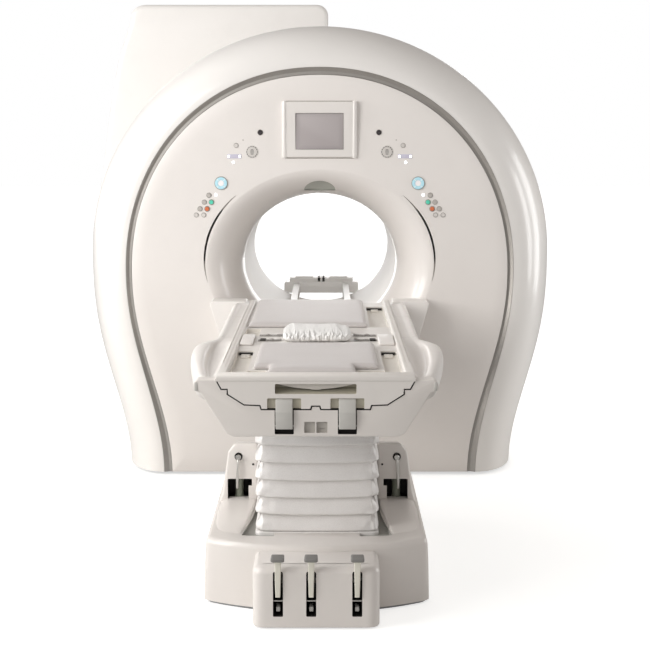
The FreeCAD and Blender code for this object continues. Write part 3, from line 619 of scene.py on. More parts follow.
def make_outer_shell():
    rows = [arch_row(SHELL_IN, -742), arch_row(SHELL_IN, -749.0), arch_row(SHELL_IN, -750.0, -0.8)]
    turn = 26
    for step in range(1, turn + 1):
        angle = pi / 2 * step / turn
        outline = blended(SHELL_IN, SHELL_WIDE, sin(angle))
        rows.append(arch_row(outline, FRONT + (TURN_END - FRONT) * (1 - cos(angle))))
    for share in (0.25, 0.5, 0.75, 1.0):
        rows.append(arch_row(blended(SHELL_WIDE, SHELL_BACK, share),
                             TURN_END + (SIDE_END - 2 - TURN_END) * share))
    rows += [arch_row(SHELL_BACK, SIDE_END - 0.5, 0.7), arch_row(SHELL_BACK, SIDE_END, 2.2),
             arch_row(SHELL_BACK, SIDE_END, 8)]
    rows.append(arch_row(blended(SHELL_WIDE, SHELL_BACK, 0.02), TURN_END, 8))
    for step in range(10, -1, -1):
        angle = pi / 2 * step / 10
        rows.append(arch_row(blended(SHELL_IN, SHELL_WIDE, sin(angle)), FRONT + 8 * cos(angle)
                             + (TURN_END - FRONT) * (1 - cos(angle)), 8 * sin(angle)))
    piece("outer_shell_cover", "gantry", "shell_gloss", shell_paint, rows_shape(rows), stands_for="outer_shell")


def make_rear_shell():
    rows = [arch_row(SHELL_BACK, 290, 8), arch_row(SHELL_BACK, 290, 2.2), arch_row(SHELL_BACK, 290.5, 0.7)]
    rows += [arch_row(SHELL_BACK, y) for y in (292, 380, 470, 560)]
    for step in range(1, 17):
        angle = pi / 2 * step / 16
        rows.append(arch_row(blended(SHELL_BACK, REAR_FACE, 1 - cos(angle)), 560 + 189 * sin(angle), 0.0))
    rows += [arch_row(REAR_FACE, 749.6, 1.5), arch_row(REAR_FACE, 748.0, 2.4), arch_row(REAR_FACE, 742, 2.6)]
    for step in range(10, -1, -1):
        angle = pi / 2 * step / 10
        rows.append(arch_row(blended(SHELL_BACK, REAR_FACE, 1 - cos(angle)), 560 + 182 * sin(angle), 8))
    piece("rear_shell_cover", "gantry", "shell_gloss", turret_paint, rows_shape(rows), stands_for="rear_cover")


def directions(outline, steps=360):
    """Directions round the bore's axis, with the outline's two lower corners among them."""
    foot = arch(outline)[0][0]
    corner = atan2(LOW - AXIS, foot)
    found = sorted([2 * pi * k / steps - pi for k in range(steps)] + [corner, -pi - corner])
    kept = [found[0]]
    for angle in found[1:]:
        if angle - kept[-1] > 1e-4:
            kept.append(angle)
    return kept


def reaches(outline, angles, inwards=0.0):
    """Distance from the bore's axis to a cover's closed outline, along each direction."""
    points = [(x, z - AXIS) for x, z in arch(outline, inwards)]
    lengths = []
    turn = [(atan2(z, x) - atan2(points[0][1], points[0][0])) % (2 * pi) for x, z in points]
    start = atan2(points[0][1], points[0][0])
    at = 0
    for angle in angles:
        away = (angle - start) % (2 * pi)
        if away >= turn[-1] - 1e-9 or away < 1e-9:
            below = -sin(angle)
            lengths.append((AXIS - LOW) / below if below > 0.3 else hypot(*points[0]))
            continue
        at = 0
        low, high = 0, len(turn) - 1
        while high - low > 1:
            at = (low + high) // 2
            if turn[at] <= away:
                low = at
            else:
                high = at
        (x0, z0), (x1, z1) = points[low], points[high]
        dx, dz = x1 - x0, z1 - z0
        lengths.append((x0 * dz - z0 * dx) / (cos(angle) * dz - sin(angle) * dx))
    return lengths


def ellipse_reach(a, b, angle):
    return a * b / hypot(b * cos(angle), a * sin(angle))


def flare_at(turn, offset=0.0):
    """Half width, half height and depth of the mouth where its surface has turned by an angle."""
    spread = (1 - sin(turn)) / (1 - sin(FLARE_START))
    depth = FLARE_DEPTH * (1 - cos(turn) / cos(FLARE_START)) + offset * cos(turn) / cos(FLARE_START)
    return (BORE[0] + FLARE[0] * spread + offset * sin(turn), BORE[1] + FLARE[1] * spread + offset * sin(turn),
            depth)


def crescent(angle):
    """Width of the crescent groove and its distance outside the mouth, at a direction."""
    low, high = radians(-9), radians(41)
    around = angle if abs(angle) <= pi / 2 else (pi - angle if angle > 0 else -pi - angle)
    share = (around - low) / (high - low)
    if not 0 < share < 1:
        return 0.3, 2.0
    return 0.3 + 10.5 * sin(pi * share) ** 0.7, 2.0 + 14 * share


def make_mouth_plate(name, outline, side, finishes, slot, stands_for, wall, groove, cuts=()):
    """A cover's face with the bore's mouth in it. side is -1 at the front and 1 at the rear."""
    angles = directions(outline)
    plane = FRONT if side < 0 else REAR
    rim = reaches(outline, angles)
    mouth = [ellipse_reach(*flare_at(FLARE_START)[:2], angle) for angle in angles]

    def row(lengths, depth):
        return [(cos(angle) * length, plane - side * depth, AXIS + sin(angle) * length)
                for angle, length in zip(angles, lengths)]

    rows = [row(rim, wall), row(rim, 2.2), row([r - 0.6 for r in rim], 0.7), row([r - 2.2 for r in rim], 0)]
    face_rows = 6
    outside = [m + crescent(angle)[1] + crescent(angle)[0] for m, angle in zip(mouth, angles)]
    inside = [m + crescent(angle)[1] for m, angle in zip(mouth, angles)]
    for step in range(1, face_rows):
        share = step / face_rows
        rows.append(row([(r - 2.2) * (1 - share) + o * share for r, o in zip(rim, outside)], 0))
    if groove:
        depth = [min(6.0, crescent(angle)[0] * 0.8 - 0.24) for angle in angles]
        dip = [(0, outside, 0.0), (1, [o - 0.1 * (o - i) for o, i in zip(outside, inside)], 1.0),
               (1, [i + 0.1 * (o - i) for o, i in zip(outside, inside)], 1.0), (0, inside, 0.0)]
        for _, lengths, share in dip:
            rows.append([(x, plane - side * share * d, z) for (x, _, z), d in zip(row(lengths, 0), depth)])
    else:
        rows.append(row(inside, 0))
    rows.append(row([m + 0.6 for m in mouth], 0))
    turns = [FLARE_START + (pi / 2 - FLARE_START) * k / 26 for k in range(27)]
    for turn in turns:
        a, b, depth = flare_at(turn)
        rows.append(row([ellipse_reach(a, b, angle) for angle in angles], depth))
    for turn in reversed(turns[::3]):
        a, b, depth = flare_at(turn, wall)
        rows.append(row([ellipse_reach(a, b, angle) for angle in angles], depth))
    shape = rows_shape(rows, around=True)
    # the crescent groove's floor faces take the darker grey: painted shade
    if groove:
        first = 4 + face_rows - 1
        for k in range(len(angles)):
            shape.finishes[(first + 1) * len(angles) + k] = 1 if crescent(angles[k])[0] > 1.0 else 0
    piece(name, "gantry", slot, finishes, shape, stands_for=stands_for, cuts=cuts, crease=40)


WINDOW_HALF, WINDOW_LOW, WINDOW_RISE = 74.0, 1347.0, 47.0


def half_moon(grow=0.0, steps=40):
    a, b, low = WINDOW_HALF + grow, WINDOW_RISE + grow, WINDOW_LOW - grow
    corner = 5.0
    outline = [(a * cos(pi * k / steps), low + b * sin(pi * k / steps)) for k in range(steps + 1)]
    return [(-a + corner, low - 1.5)] + [(a - corner, low - 1.5)] + outline


def flare_depth_at(x, z):
    """How deep the mouth's surface lies behind the front plane at a place seen from the front."""
    low, high = FLARE_START, pi / 2
    for _ in range(30):
        turn = (low + high) / 2
        a, b, _ = flare_at(turn)
        if (x / a) ** 2 + ((z - AXIS) / b) ** 2 > 1:
            high = turn
        else:
            low = turn
    return flare_at((low + high) / 2)[2]


def make_alignment_window():
    """The tinted lens at the back of the half-moon pocket over the bore."""
    outline = half_moon(4)
    centre = (0.0, WINDOW_LOW + 18)
    rows = []
    for offset, sizes in ((17.0, (0.02, 0.25, 0.5, 0.75, 1.0)), (25.0, (1.0, 0.5, 0.02))):
        for size in sizes:
            ring = []
            for x, z in outline:
                px, pz = centre[0] + (x - centre[0]) * size, centre[1] + (z - centre[1]) * size
                ring.append((px, FRONT + flare_depth_at(px, pz) + offset - 2.0 * (1 - size * size), pz))
            rows.append(ring)
    piece("alignment_lens", "gantry", "window_tint", shaded_window_glass, rows_shape(rows, around=True, wrap=False),
          stands_for="alignment_window", crease=50)


def make_bore_liner():
    """The tube between the two mouths, with a joint ring near each end."""
    steps = 200
    profile = [(0.8, -449.5), (0.0, -448.5), (0.0, -431.5), (1.4, -430.5), (1.4, -429.0), (0.0, -428.0),
               (0.0, -200), (0.0, 0), (0.0, 200), (0.0, 428.0), (1.4, 429.0), (1.4, 430.5), (0.0, 431.5),
               (0.0, 448.5), (0.8, 449.5), (6.0, 449.5), (6.0, 0.0), (6.0, -449.5)]
    rows = [[((BORE[0] + out) * cos(2 * pi * k / steps), y, AXIS + (BORE[1] + out) * sin(2 * pi * k / steps))
             for k in range(steps)] for out, y in profile]
    piece("bore_tube", "gantry", "liner", liner_paint, rows_shape(rows, around=True), stands_for="bore_liner")


def turret_outline(steps=10):
    left = [(-1019, 2244), (-1087, 2022), (-1139, 1749), (-1188, 1389), (-1234, 1090), (-1205, 800),
            (-1115, 540), (-975, 400)]
    heights = [z for _, z in left]
    rising = list(reversed(heights))
    side = []
    for i in range(len(left) - 1):
        for step in range(steps):
            z = heights[i] + (heights[i + 1] - heights[i]) * step / steps
            side.append((curve_through([x for x, _ in reversed(left)], rising, z), z))
    side.append(left[-1])
    corner = [(-1019 + 79 * (1 - cos(pi / 2 * k / 8)), 2244 + 56 * sin(pi / 2 * k / 8)) for k in range(1, 9)]
    right = [(-20 + 60 * sin(pi / 2 * k / 8), 2240 + 60 * cos(pi / 2 * k / 8)) for k in range(9)]
    top = [(-940 + 920 * k / 8, 2300) for k in range(1, 8)]
    return side[::-1] + corner + top + right + [(40, 1900), (40, 1400), (40, 900), (40, 400), (-450, 400)]


def make_turret():
    inside = loft([[(x, y, z) for x, z in arch(SHELL_BACK, -0.8, -40)] for y in (270, 562)]
                  + [[(x, y, z) for x, z in arch(blended(SHELL_BACK, REAR_FACE, 1 - cos(pi / 2 * k / 8)), -0.8,
                                                 -40)] for k, y in [(k, 562 + 190 * sin(pi / 2 * k / 8))
                                                                    for k in range(1, 9)]])
    piece("turret_housing", "gantry", "shell_gloss", turret_paint,
          soft_slab(turret_outline(), 290, 735, 26, steps=7), stands_for="turret_cover", cuts=[inside],
          crease=30)


def make_bridge():
    """Rails on the bore's floor and the raised box behind the bore."""
    def floor_at(x):
        return AXIS - BORE[1] * sqrt(max(0, 1 - (x / BORE[0]) ** 2)) + 0.4
    rails = []
    for x in (-140, 140):
        outline = [(x - 18, floor_at(x - 18)), (x + 18, floor_at(x + 18)), (x + 18, 747.5), (x - 18, 747.5)]
        rails.append(soft_slab(rounded_outline(outline, (0, 0, 5, 5), 3), -747.5, 700, 1.5, steps=2))
    step = soft_slab(rounded_outline(rectangle(-214, 214, 690, 753), (6, 6, 14, 14)), 702, 860, 5)
    deck = soft_slab(rounded_outline(rectangle(-182, 182, 750, 776), (0, 0, 7, 7)), 702, 838, 4)
    side_box = soft_slab(rounded_outline(rectangle(48, 150, 756, 784), (0, 0, 6, 6)), 716, 800, 4)
    whole = joined(step, deck, both_sides(side_box), *rails)
    piece("bridge_body", "gantry", "bridge_plastic", brightened_bridge_paint, whole, stands_for="bore_bridge")
    bars = joined(*[soft_slab(rounded_outline(rectangle(x - 4, x + 4, 736, 783.5), 2.5, 3), 706, 770, 1.5,
                              steps=2) for x in (-13, 13)], *[block(x - 7, x + 7, 702, 708, 756, 776)
                                                              for x in (-13, 13)], block(-9, 9, 730, 737, 760,
                                                                                         768))
    dark = soft_slab(rounded_outline(rectangle(-24, 24, 774, 777.4), 1.2, 3), 703.5, 812, 0.8)
    piece("bridge_contacts", "gantry", "dark_window", recess_dark, bars)
    piece("bridge_channel", "gantry", "grille_grey", pale_key, dark)
    seams = [block(-182.4, 182.4, y, y + 1.6, 752, 777.2) for y in (735,)]
    piece("bridge_seams", "gantry", "grille_grey", grille_plastic, joined(*seams), edge=0.3, steps=1)


def make_dock():
    """The ledge under the bore that the table docks to."""
    outline = [(-440, 610), (440, 610), (506, 835), (496, 845), (338, 845), (306, 746.5), (-306, 746.5),
               (-338, 845), (-496, 845), (-506, 835)]
    radii = [16, 16, 8, 6, 5, 3, 3, 5, 6, 8]
    piece("dock_ledge", "gantry", "cover_gloss", fairing_paint,
          soft_slab(rounded_outline(outline, radii), -860, -750.4, 3, both=False), stands_for="dock_fairing")


make_trim_strip()
make_outer_shell()
make_rear_shell()
make_mouth_plate("front_panel", PANEL, -1, [cover_paint, groove_dark], "cover_gloss", "front_cover", 6.0, True,
                 cuts=[prism(half_moon(), -760, -560)])
make_mouth_plate("rear_panel", REAR_FACE, 1, [turret_paint], "shell_gloss", (),
                 8.0, False)
make_alignment_window()
make_bore_liner()
make_turret()
make_bridge()
make_dock()


# ---- control panel on the front cover --------------------------------------------------------------
FACE = FRONT - 0.2                  # panel parts sit on this plane


def disc(x, z, radius, height, rim=1.0, steps=40, dish=0.0):
    """A turned cap on the front face: rounded rim, and a dish in its middle."""
    profile = [(0, FACE), (radius, FACE), (radius, FACE - height + rim),
               (radius - rim * 0.3, FACE - height + rim * 0.3), (radius - rim, FACE - height),
               (radius * 0.55, FACE - height + dish * 0.4), (0, FACE - height + dish)]
    return lathe(profile, (x, 0, z), steps=steps)


def hoop(x, z, outer, inner, height, steps=40, base=0.0):
    """A rounded collar on the front face."""
    middle, half = (outer + inner) / 2, (outer - inner) / 2
    rings = []
    profile = [(outer, FACE - base), (outer, FACE - height + half * 0.8)]
    profile += [(middle + half * cos(pi * k / 6), FACE - height + half * 0.8 - half * 0.8 * sin(pi * k / 6))
                for k in range(1, 6)]
    profile += [(inner, FACE - height + half * 0.8), (inner, FACE - base)]
    for radius, y in profile:
        rings.append([(x + radius * cos(2 * pi * k / steps), y, z + radius * sin(2 * pi * k / steps))
                      for k in range(steps)])
    return rows_shape(rings, around=True)


def make_display():
    outline = rounded_outline(rectangle(-167, 167, 1503, 1762), (15, 15, 16, 16), 6)
    back = [(x, FACE, z) for x, z in outline]

    def lean(z):
        return 9 + 13 * (z - 1503) / 259

    rings = [back]
    for inwards, drop in ((0, 9), (0.8, 5), (3, 2), (6, 0.5), (10, 0)):
        rings.append([(x, FACE - lean(z) + drop, z) for x, z in grown(outline, -inwards)])
    body = loft(rings)
    opening = prism(rounded_outline(rectangle(-112, 112, 1540.5, 1709.5), 3, 3), -790, -758)
    piece("display_body", "gantry", "bezel_plastic", [bezel_paint, bezel_paint], body,
          stands_for="display_bezel", cuts=[opening], edge=0.8, steps=2, crease=30)
    ridge = []
    for k in range(17):
        z = 1502 + 262 * k / 16
        out = 1.0 if 0 < k < 16 else 0.75
        ridge.append([(162 + 11.5 * out * cos(t), FACE - lean(z) * 0.5 - (lean(z) * 0.5 + 4) * out * sin(t), z)
                      for t in (pi * j / 14 for j in range(15))]
                     + [(151, FACE, z), (173, FACE, z)])
    # a thin dark ring round the body on the face: painted shadow line
    shadow_ring = [[(x, y, z) for x, z in grown(outline, g)] for g,
            y in ((3.5, FACE), (3.5, FACE - 1.6), (-3, FACE - 1.6), (-3, FACE))]
    piece("display_seal", "gantry", "grille_grey", display_shadow_paint, rows_shape(shadow_ring, around=True), crease=50)
    piece("display_ridges", "gantry", "bezel_plastic", bezel_paint, both_sides(loft(ridge)), crease=30)
    glass = soft_slab(rounded_outline(rectangle(-111, 111, 1541.5, 1708.5), 2.5, 3), -762.5, -758.2,
                      0.6, steps=2)
    piece("display_glass", "gantry", "screen_glass", screen_glass, glass, stands_for="display_screen",
          crease=30)


def make_panel_parts():
    windows, bars, grilles, slits, lamps, keys, pale, collars = ([] for _ in range(8))
    for side in (-1, 1):
        windows.append(disc(side * 275, 1620, 11.5, 2.4, 1.2, dish=0.9))
        collars.append(hoop(side * 275, 1620, 13.6, 11.8, 1.6))
        bar = soft_slab(rounded_outline(rectangle(side * 396 - 33, side * 396 + 33, 1500, 1519), 4, 4),
                        FACE - 2, FACE, 0.7, steps=2, both=False)
        bars.append(bar)
        for share in (-0.78, 0.78):
            square = side * 396 + share * 33
            lamps.append(soft_slab(rounded_outline(rectangle(square - 4.5, square + 4.5, 1504, 1515), 1.5, 2),
                                   FACE - 3.0, FACE - 1, 0.5, steps=2))
        grilles.append(disc(side * 313, 1530, 29.5, 1.1, 0.9, 56))
        for k in range(14):
            around = 2 * pi * (k + 0.5) / 14
            dash = soft_slab(rounded_outline(rectangle(-3.9, 3.9, -1.5, 1.5), 1.3, 2),
                             FACE - 1.7, FACE - 0.8, 0.3, steps=1)
            turn = Matrix.Translation((side * 313, 0, 1530)) @ Matrix.Rotation(-around, 4, "Y") \
                @ Matrix.Translation((0, 0, 24.5))
            slits.append(dash.turned(turn))
        for k in range(-2, 3):
            reach = 9.5 - 1.6 * abs(k)
            slits.append(soft_slab(rounded_outline(rectangle(side * 313 - reach, side * 313 + reach,
                                                             1530 + 5.4 * k - 1.1, 1530 + 5.4 * k + 1.1), 1, 2),
                                   FACE - 1.7, FACE - 0.8, 0.3, steps=1))
        for x, z, radius in ((400, 1482, 6), (482, 1330, 6.5), (355, 1585, 3.2)):
            (lamps if x != 355 else keys).append(disc(side * x, z, radius, 2.2, 1.0, 28))
        for x, z in ((515, 1329), (537, 1297), (557, 1266)):
            keys.append(disc(side * x, z, 9.6, 3.4, 1.6, 32, 0.9))
            collars.append(hoop(side * x, z, 12.2, 10.0, 2.2))
        for x, z in ((540, 1237), (575, 1237), (387, 1560)):
            pale.append(disc(side * x, z, 9.0, 3.2, 1.6, 32, 0.9))
            collars.append(hoop(side * x, z, 11.4, 9.4, 2.0))
        for x, z, radius in ((458, 1385, 28), (504, 1297, 10), (524, 1266, 10)):
            collars.append(hoop(side * x, z, radius + 3.2, radius + 0.3, 4.0 if radius > 20 else 3.0, 64))
    piece("sensor_windows", "gantry", "dark_window", glass_dark, joined(*windows), stands_for="panel_windows")
    piece("panel_displays", "gantry", "window_tint", small_display, joined(*bars))
    piece("grille_discs", "gantry", "grille_grey", grille_plastic, joined(*grilles),
          stands_for="intercom_grilles")
    # the grille slits are near-black marks: painted shade of the openings
    piece("grille_slits", "gantry", "grille_grey", slit_shade, joined(*slits))
    piece("panel_lamps", "gantry", "lamp_white", lamp_lens, joined(*lamps), stands_for="indicator_lamps")
    piece("panel_keys", "gantry", "key_grey", key_plastic, joined(*keys), stands_for="membrane_keys")
    piece("panel_keys_pale", "gantry", "key_grey", pale_key, joined(*pale))
    piece("key_collars", "gantry", "collar_plastic", collar_plastic, joined(*collars),
          stands_for="button_collars")


def make_buttons():
    """The travelling buttons: a large lit ring with a pale middle, a green and an orange one."""
    rear = FRONT - 1.3
    for side, word in ((-1, "left"), (1, "right")):
        x, z = side * 458, 1385
        ring = [(28.0, rear), (28.0, rear - 3.6), (27.2, rear - 4.6), (25.4, rear - 5.0), (16.0, rear - 5.0),
                (14.6, rear - 4.6), (14.0, rear - 3.8), (14.0, rear)]
        rings = [[(x + radius * cos(2 * pi * k / 64), y, z + radius * sin(2 * pi * k / 64)) for k in range(64)]
                 for radius, y in ring]
        middle = lathe([(0, rear), (13.4, rear), (13.4, rear - 3.4), (12.2, rear - 4.3), (6, rear - 4.1),
                        (0, rear - 3.9)], (x, 0, z), steps=48).painted(1)
        marks = joined(*[soft_slab(rounded_outline(rectangle(-1.6, 1.6, -5.2, 5.2), 1.5, 3),
                                   rear - 5.2, rear - 4.0, 0.4, steps=1)
                         .turned(Matrix.Translation((x, 0, z)) @ Matrix.Rotation(-turn, 4, "Y")
                                 @ Matrix.Translation((0, 0, 21.3)))
                         for turn in (pi / 4, 3 * pi / 4, 5 * pi / 4, 7 * pi / 4)]).painted(1)
        piece(f"start_key_{word}", f"start_{word}", "ring_blue", [ring_blue, ring_pale],
              joined(rows_shape(rings, around=True), middle, marks), stands_for=f"start_button_{word}")
        for kind, slot, finish, kx, kz in (("home", "button_green", key_green, 504, 1297),
                                           ("stop", "button_orange", key_orange, 524, 1266)):
            cap = lathe([(0, rear), (9.7, rear), (9.7, rear - 3.2), (9.2, rear - 4.3), (8.0, rear - 5.0),
                         (4.0, rear - 4.7), (0, rear - 4.5)], (side * kx, 0, kz), steps=40)
            piece(f"{kind}_key_{word}", f"{kind}_{word}", slot, finish, cap, stands_for=f"{kind}_button_{word}")


make_display()
make_panel_parts()
make_buttons()


# ---- cradle ----------------------------------------------------------------------------------------
NEAR, PANEL_BACK, CRADLE_FAR = -2750.0, -2692.0, -900.0
DECK, RAIL_TOP, UNDER = 845.0, 857.0, 785.0


def mirrored_outline(right):
    """A closed outline from its right half, listed from the bottom middle to the top middle."""
    return right + [(-x, z) for x, z in reversed(right)]


def make_cradle_board():
    right = [(262, UNDER), (290, 808), (318, 846), (318, RAIL_TOP), (290, RAIL_TOP), (287, DECK)]
    outline = rounded_outline(mirrored_outline(right), [8, 14, 10, 4, 4, 2.5, 2.5, 4, 4, 10, 14, 8], 4)
    body = soft_slab(outline, PANEL_BACK, CRADLE_FAR, 2.5, steps=3)
    runner = soft_slab(rounded_outline(rectangle(122, 158, 748, 790), (4, 4, 0, 0), 3), PANEL_BACK,
                       -1110, 2, steps=2)
    cuts = []
    for side in (-1, 1):
        cuts.append(block(side * 313 - 1.6, side * 313 + 1.6, -2520, -906, 853, 860))
        cuts.append(block(side * 300 - 1.2, side * 300 + 1.2, -2610, -906, 855, 860))
    trays = ((-283, -226, -2662, -2216), (226, 283, -2662, -2216), (207, 283, -1655, -1046),
             (-283, -226, -1876, -1700), (-226, -163, -2664, -2606), (136, 226, -2664, -2606))
    for x0, x1, y0, y1 in trays:
        cuts.append(soft_slab(rounded_outline(rectangle(x0, x1, y0, y1), 7, 4), DECK - 15, DECK + 3, 4,
                              axis="z", steps=3, both=False).painted(1))
    piece("cradle_shell", "cradle", "cradle_shell", [cradle_paint, tray_paint], body, cuts=cuts,
          stands_for=("cradle_board", "coil_sockets"), crease=30)
    piece("cradle_runners", "cradle", "cradle_shell", cradle_paint, both_sides(runner), crease=30)
    rests = [soft_slab(rounded_outline(rectangle(x0, x1, -2104, -1892), 9, 4), DECK - 0.5,
                       DECK + 11, 5, axis="z", steps=4) for x0, x1 in ((-285, -238), (226, 285))]
    piece("arm_rests", "cradle", "cradle_shell", fairing_paint, joined(*rests), crease=30)
    # near-black bars at the trays' ends: painted shade of the socket openings
    slits = [block(x0 + 4, x1 - 4, y1 - 9, y1 - 2, DECK - 15.2, DECK - 5) for x0, x1, y0, y1 in trays[:3]]
    slits += [block(x0 + 3, x1 - 3, y0 + 2, y0 + 8, DECK - 15.2, DECK - 6) for x0, x1, y0, y1 in trays[4:]]
    piece("tray_slits", "cradle", "recess_dark", recess_dark, joined(*slits), edge=1.2, crease=30)
    plugs = []
    for x0, x1, y0, y1 in trays[:3]:
        middle = (x0 + x1) / 2
        plugs.append(soft_slab(rounded_outline(rectangle(middle - 16, middle + 16, y1 - 74, y1 - 16), 5, 4),
                               DECK - 15.5, DECK - 9, 2, axis="z", steps=3))
        plugs += [lathe([(0, DECK - 10), (4.4, DECK - 10), (4.4, DECK - 8), (3.6, DECK - 7.4), (0, DECK - 7.4)],
                        (middle, y1 - 30 - 18 * k, 0), "z", 20) for k in range(3)]
    piece("coil_plugs", "cradle", "socket_grey", tray_paint, joined(*plugs), crease=30)


# the gap between the cradle's end panel and the end frame, as its middle line on the right
GAP_LINE = [(0, 756.5), (13, 756.5), (16, 745.7), (174.5, 745.7), (178.5, 758.5), (229, 760.5), (282.5, 795),
            (281.5, 811), (302, 811), (324, 853)]
GAP = 2.3


def gap_edge(outwards):
    """The gap's edge: the end panel's side when outwards is negative, the frame's when positive."""
    line = GAP_LINE[1:] + [(324, 930)]
    whole = [(-x, z) for x, z in reversed(line)] + line
    return grown(whole, outwards)


def make_end_panel():
    """The cradle's end: a flat face under a rounded lip, with the grip's recess and two lever recesses."""
    outline = [(-318.5, 846), *[(max(-318.5, min(318.5, x)), z) for x, z in gap_edge(-GAP) if z < 846],
               (318.5, 846)]
    # the recesses' cut faces take the darker cream: painted shade inside them
    cuts = [prism(rounded_outline(rectangle(-130, 130, 796.5, 828.5), 5, 4), -2790, -2708).painted(1)]
    for x in (-101, 101):
        cuts.append(prism(rounded_outline(rectangle(x - 54, x + 54, 700, 782), 3, 3),
                          -2790, -2739).painted(1))
    lip = rounded_outline([(-2752, 836), (-2752, 858.5), (-2700, 858.5), (-2692, 853), (-2692, 836)],
                          [6, 12, 10, 4, 1], 7)
    rim = loft([[(x, y, z - drop if z > 846 else z) for y, z in lip]
                for x, drop in ((-318.5, 4), (-317, 1.6), (-313, 0), (313, 0), (317, 1.6), (318.5, 4))])
    piece("end_panel", "cradle", "cradle_shell", [cradle_paint, recess_cream], prism(outline, NEAR, PANEL_BACK),
          stands_for="cradle_end_panel", cuts=cuts, edge=1.1, crease=28)
    piece("end_lip", "cradle", "cradle_shell", cradle_paint, rim, crease=30)
    # the grip recess's floor in the darker cream: painted shade
    floor = rows_shape([[(-129.5, y, z), (129.5, y, z)] for y, z in ((-2746, 796.6), (-2726, 799), (-2711, 810),
                                                                     (-2708.5, 810), (-2708.5, 796.4))])
    piece("grip_floor", "cradle", "cradle_shell", recess_cream, floor, crease=50)
    edge = [(x, 825.0 - 17.5 * (1 - (x / 127.5) ** 2) - (2.2 if abs(x) < 14 else 0))
            for x in (-127.5 + 255 * k / 40 for k in range(41))]
    paddle = soft_slab(edge + [(127.5, 827.6), (-127.5, 827.6)], -2729, -2717, 2.0, steps=3)
    stem = soft_slab(rounded_outline(rectangle(-20, 20, 806, 820), 2, 2), -2718, -2708.5, 1, steps=1)
    piece("grip_lip", "grip", "recess_dark", cradle_paint, joined(paddle, stem), stands_for="grip_paddle",
          crease=30)
    shade = [(x, z - 1.2) for x, z in edge[1:-1]] + [(x, z + 3.5) for x, z in reversed(edge[1:-1])]
    piece("grip_shadow", "grip", "recess_dark", recess_dark, prism(shade, -2726, -2718), edge=0.4, crease=30)


# ---- end frame, levers and side fairings -----------------------------------------------------------
def make_end_frame():
    outer = [(264, 657), (286, 668), (368, 800), (391, 806), (391, 828), (380, 841)]
    outline = rounded_outline([(-x, z) for x, z in reversed(outer)] + outer,
                              [9, 8, 6, 5, 12, 14, 14, 12, 5, 6, 8, 9], 5)
    # the gap's cut walls and the lever slots' walls take near black: painted shade in them
    hollow = gap_edge(GAP)
    cuts = [prism(hollow, -2790, -2640).painted(1)]
    for x in (-101, 101):
        cuts.append(prism(rounded_outline(rectangle(x - 30.5, x + 30.5, 665, 760), 3, 3),
                          -2790, -2722).painted(1))
    # the two small recesses' faces take a darker cream: painted shade
    for x0, x1 in ((-37, -2), (2, 37)):
        cuts.append(prism(rounded_outline(rectangle(x0, x1, 669.5, 705.5), 2, 3),
                          -2790, -2736).painted(2))
    piece("end_frame_cover", "lift", "cover_gloss", [frame_paint, recess_dark, socket_cream],
          soft_slab(outline, NEAR + 3, PANEL_BACK, 3, steps=3, both=False), stands_for="end_frame", cuts=cuts,
          crease=28)
    marks = [soft_slab(rounded_outline(rectangle(8, 30, 680, 682.5), 1, 2), -2736, -2733, 0.6, steps=1)]
    for side in (-1, 1):
        marks.append(soft_slab(rounded_outline([(side * 381 - 5, 806), (side * 381 + 5, 806),
                                                (side * 383 + 5, 834), (side * 383 - 4, 834)], 2, 3),
                               NEAR + 1.5, NEAR + 12, 1.5, steps=2))
    piece("end_frame_inserts", "lift", "latch_grey", latch_paint, joined(*marks), crease=30)
    pins = [tube([(x - 29.5, -2736, 690), (x, -2736, 690), (x + 29.5, -2736, 690)], 3, 16, ends=False)
            for x in (-101, 101)]
    piece("lever_pins", "lift", "pin_steel", pin_metal, joined(*pins))
    for x, word in ((-101, "left"), (101, "right")):
        profile = rounded_outline([(-2752.5, 682), (-2742, 680), (-2731, 684), (-2729, 696), (-2740, 702),
                                   (-2744, 712), (-2744, 748), (-2741.5, 779), (-2746, 782), (-2752, 766),
                                   (-2758.5, 738), (-2757, 708)], [3, 4, 5, 5, 5, 8, 10, 2, 2, 12, 14, 12], 4)
        lever = soft_slab(profile, x - 27.3, x + 27.3, 2.2, axis="x", steps=3)
        piece(f"latch_{word}", f"latch_{word}", "latch_grey", latch_paint, lever,
              stands_for=f"latch_lever_{word}", crease=30)


FAIRING_PLACES = [-2691, -2620, -2560, -2420, -2250, -2120, -2045, -1990, -1945, -1900, -1800, -1400, -1100,
                  -861]
FAIRING_HALVES = [391, 403, 412, 431, 450, 459, 456, 434, 402, 395, 394, 397, 398, 400]
FAIRING_FOOTS = [344, 356, 364, 379, 388, 391, 386, 372, 358, 352, 350, 350, 350, 350]
FAIRING_DEPTHS = [8, 15, 19, 25, 27, 25, 17, 6, 1, 0, 0, 0, 0, 0]


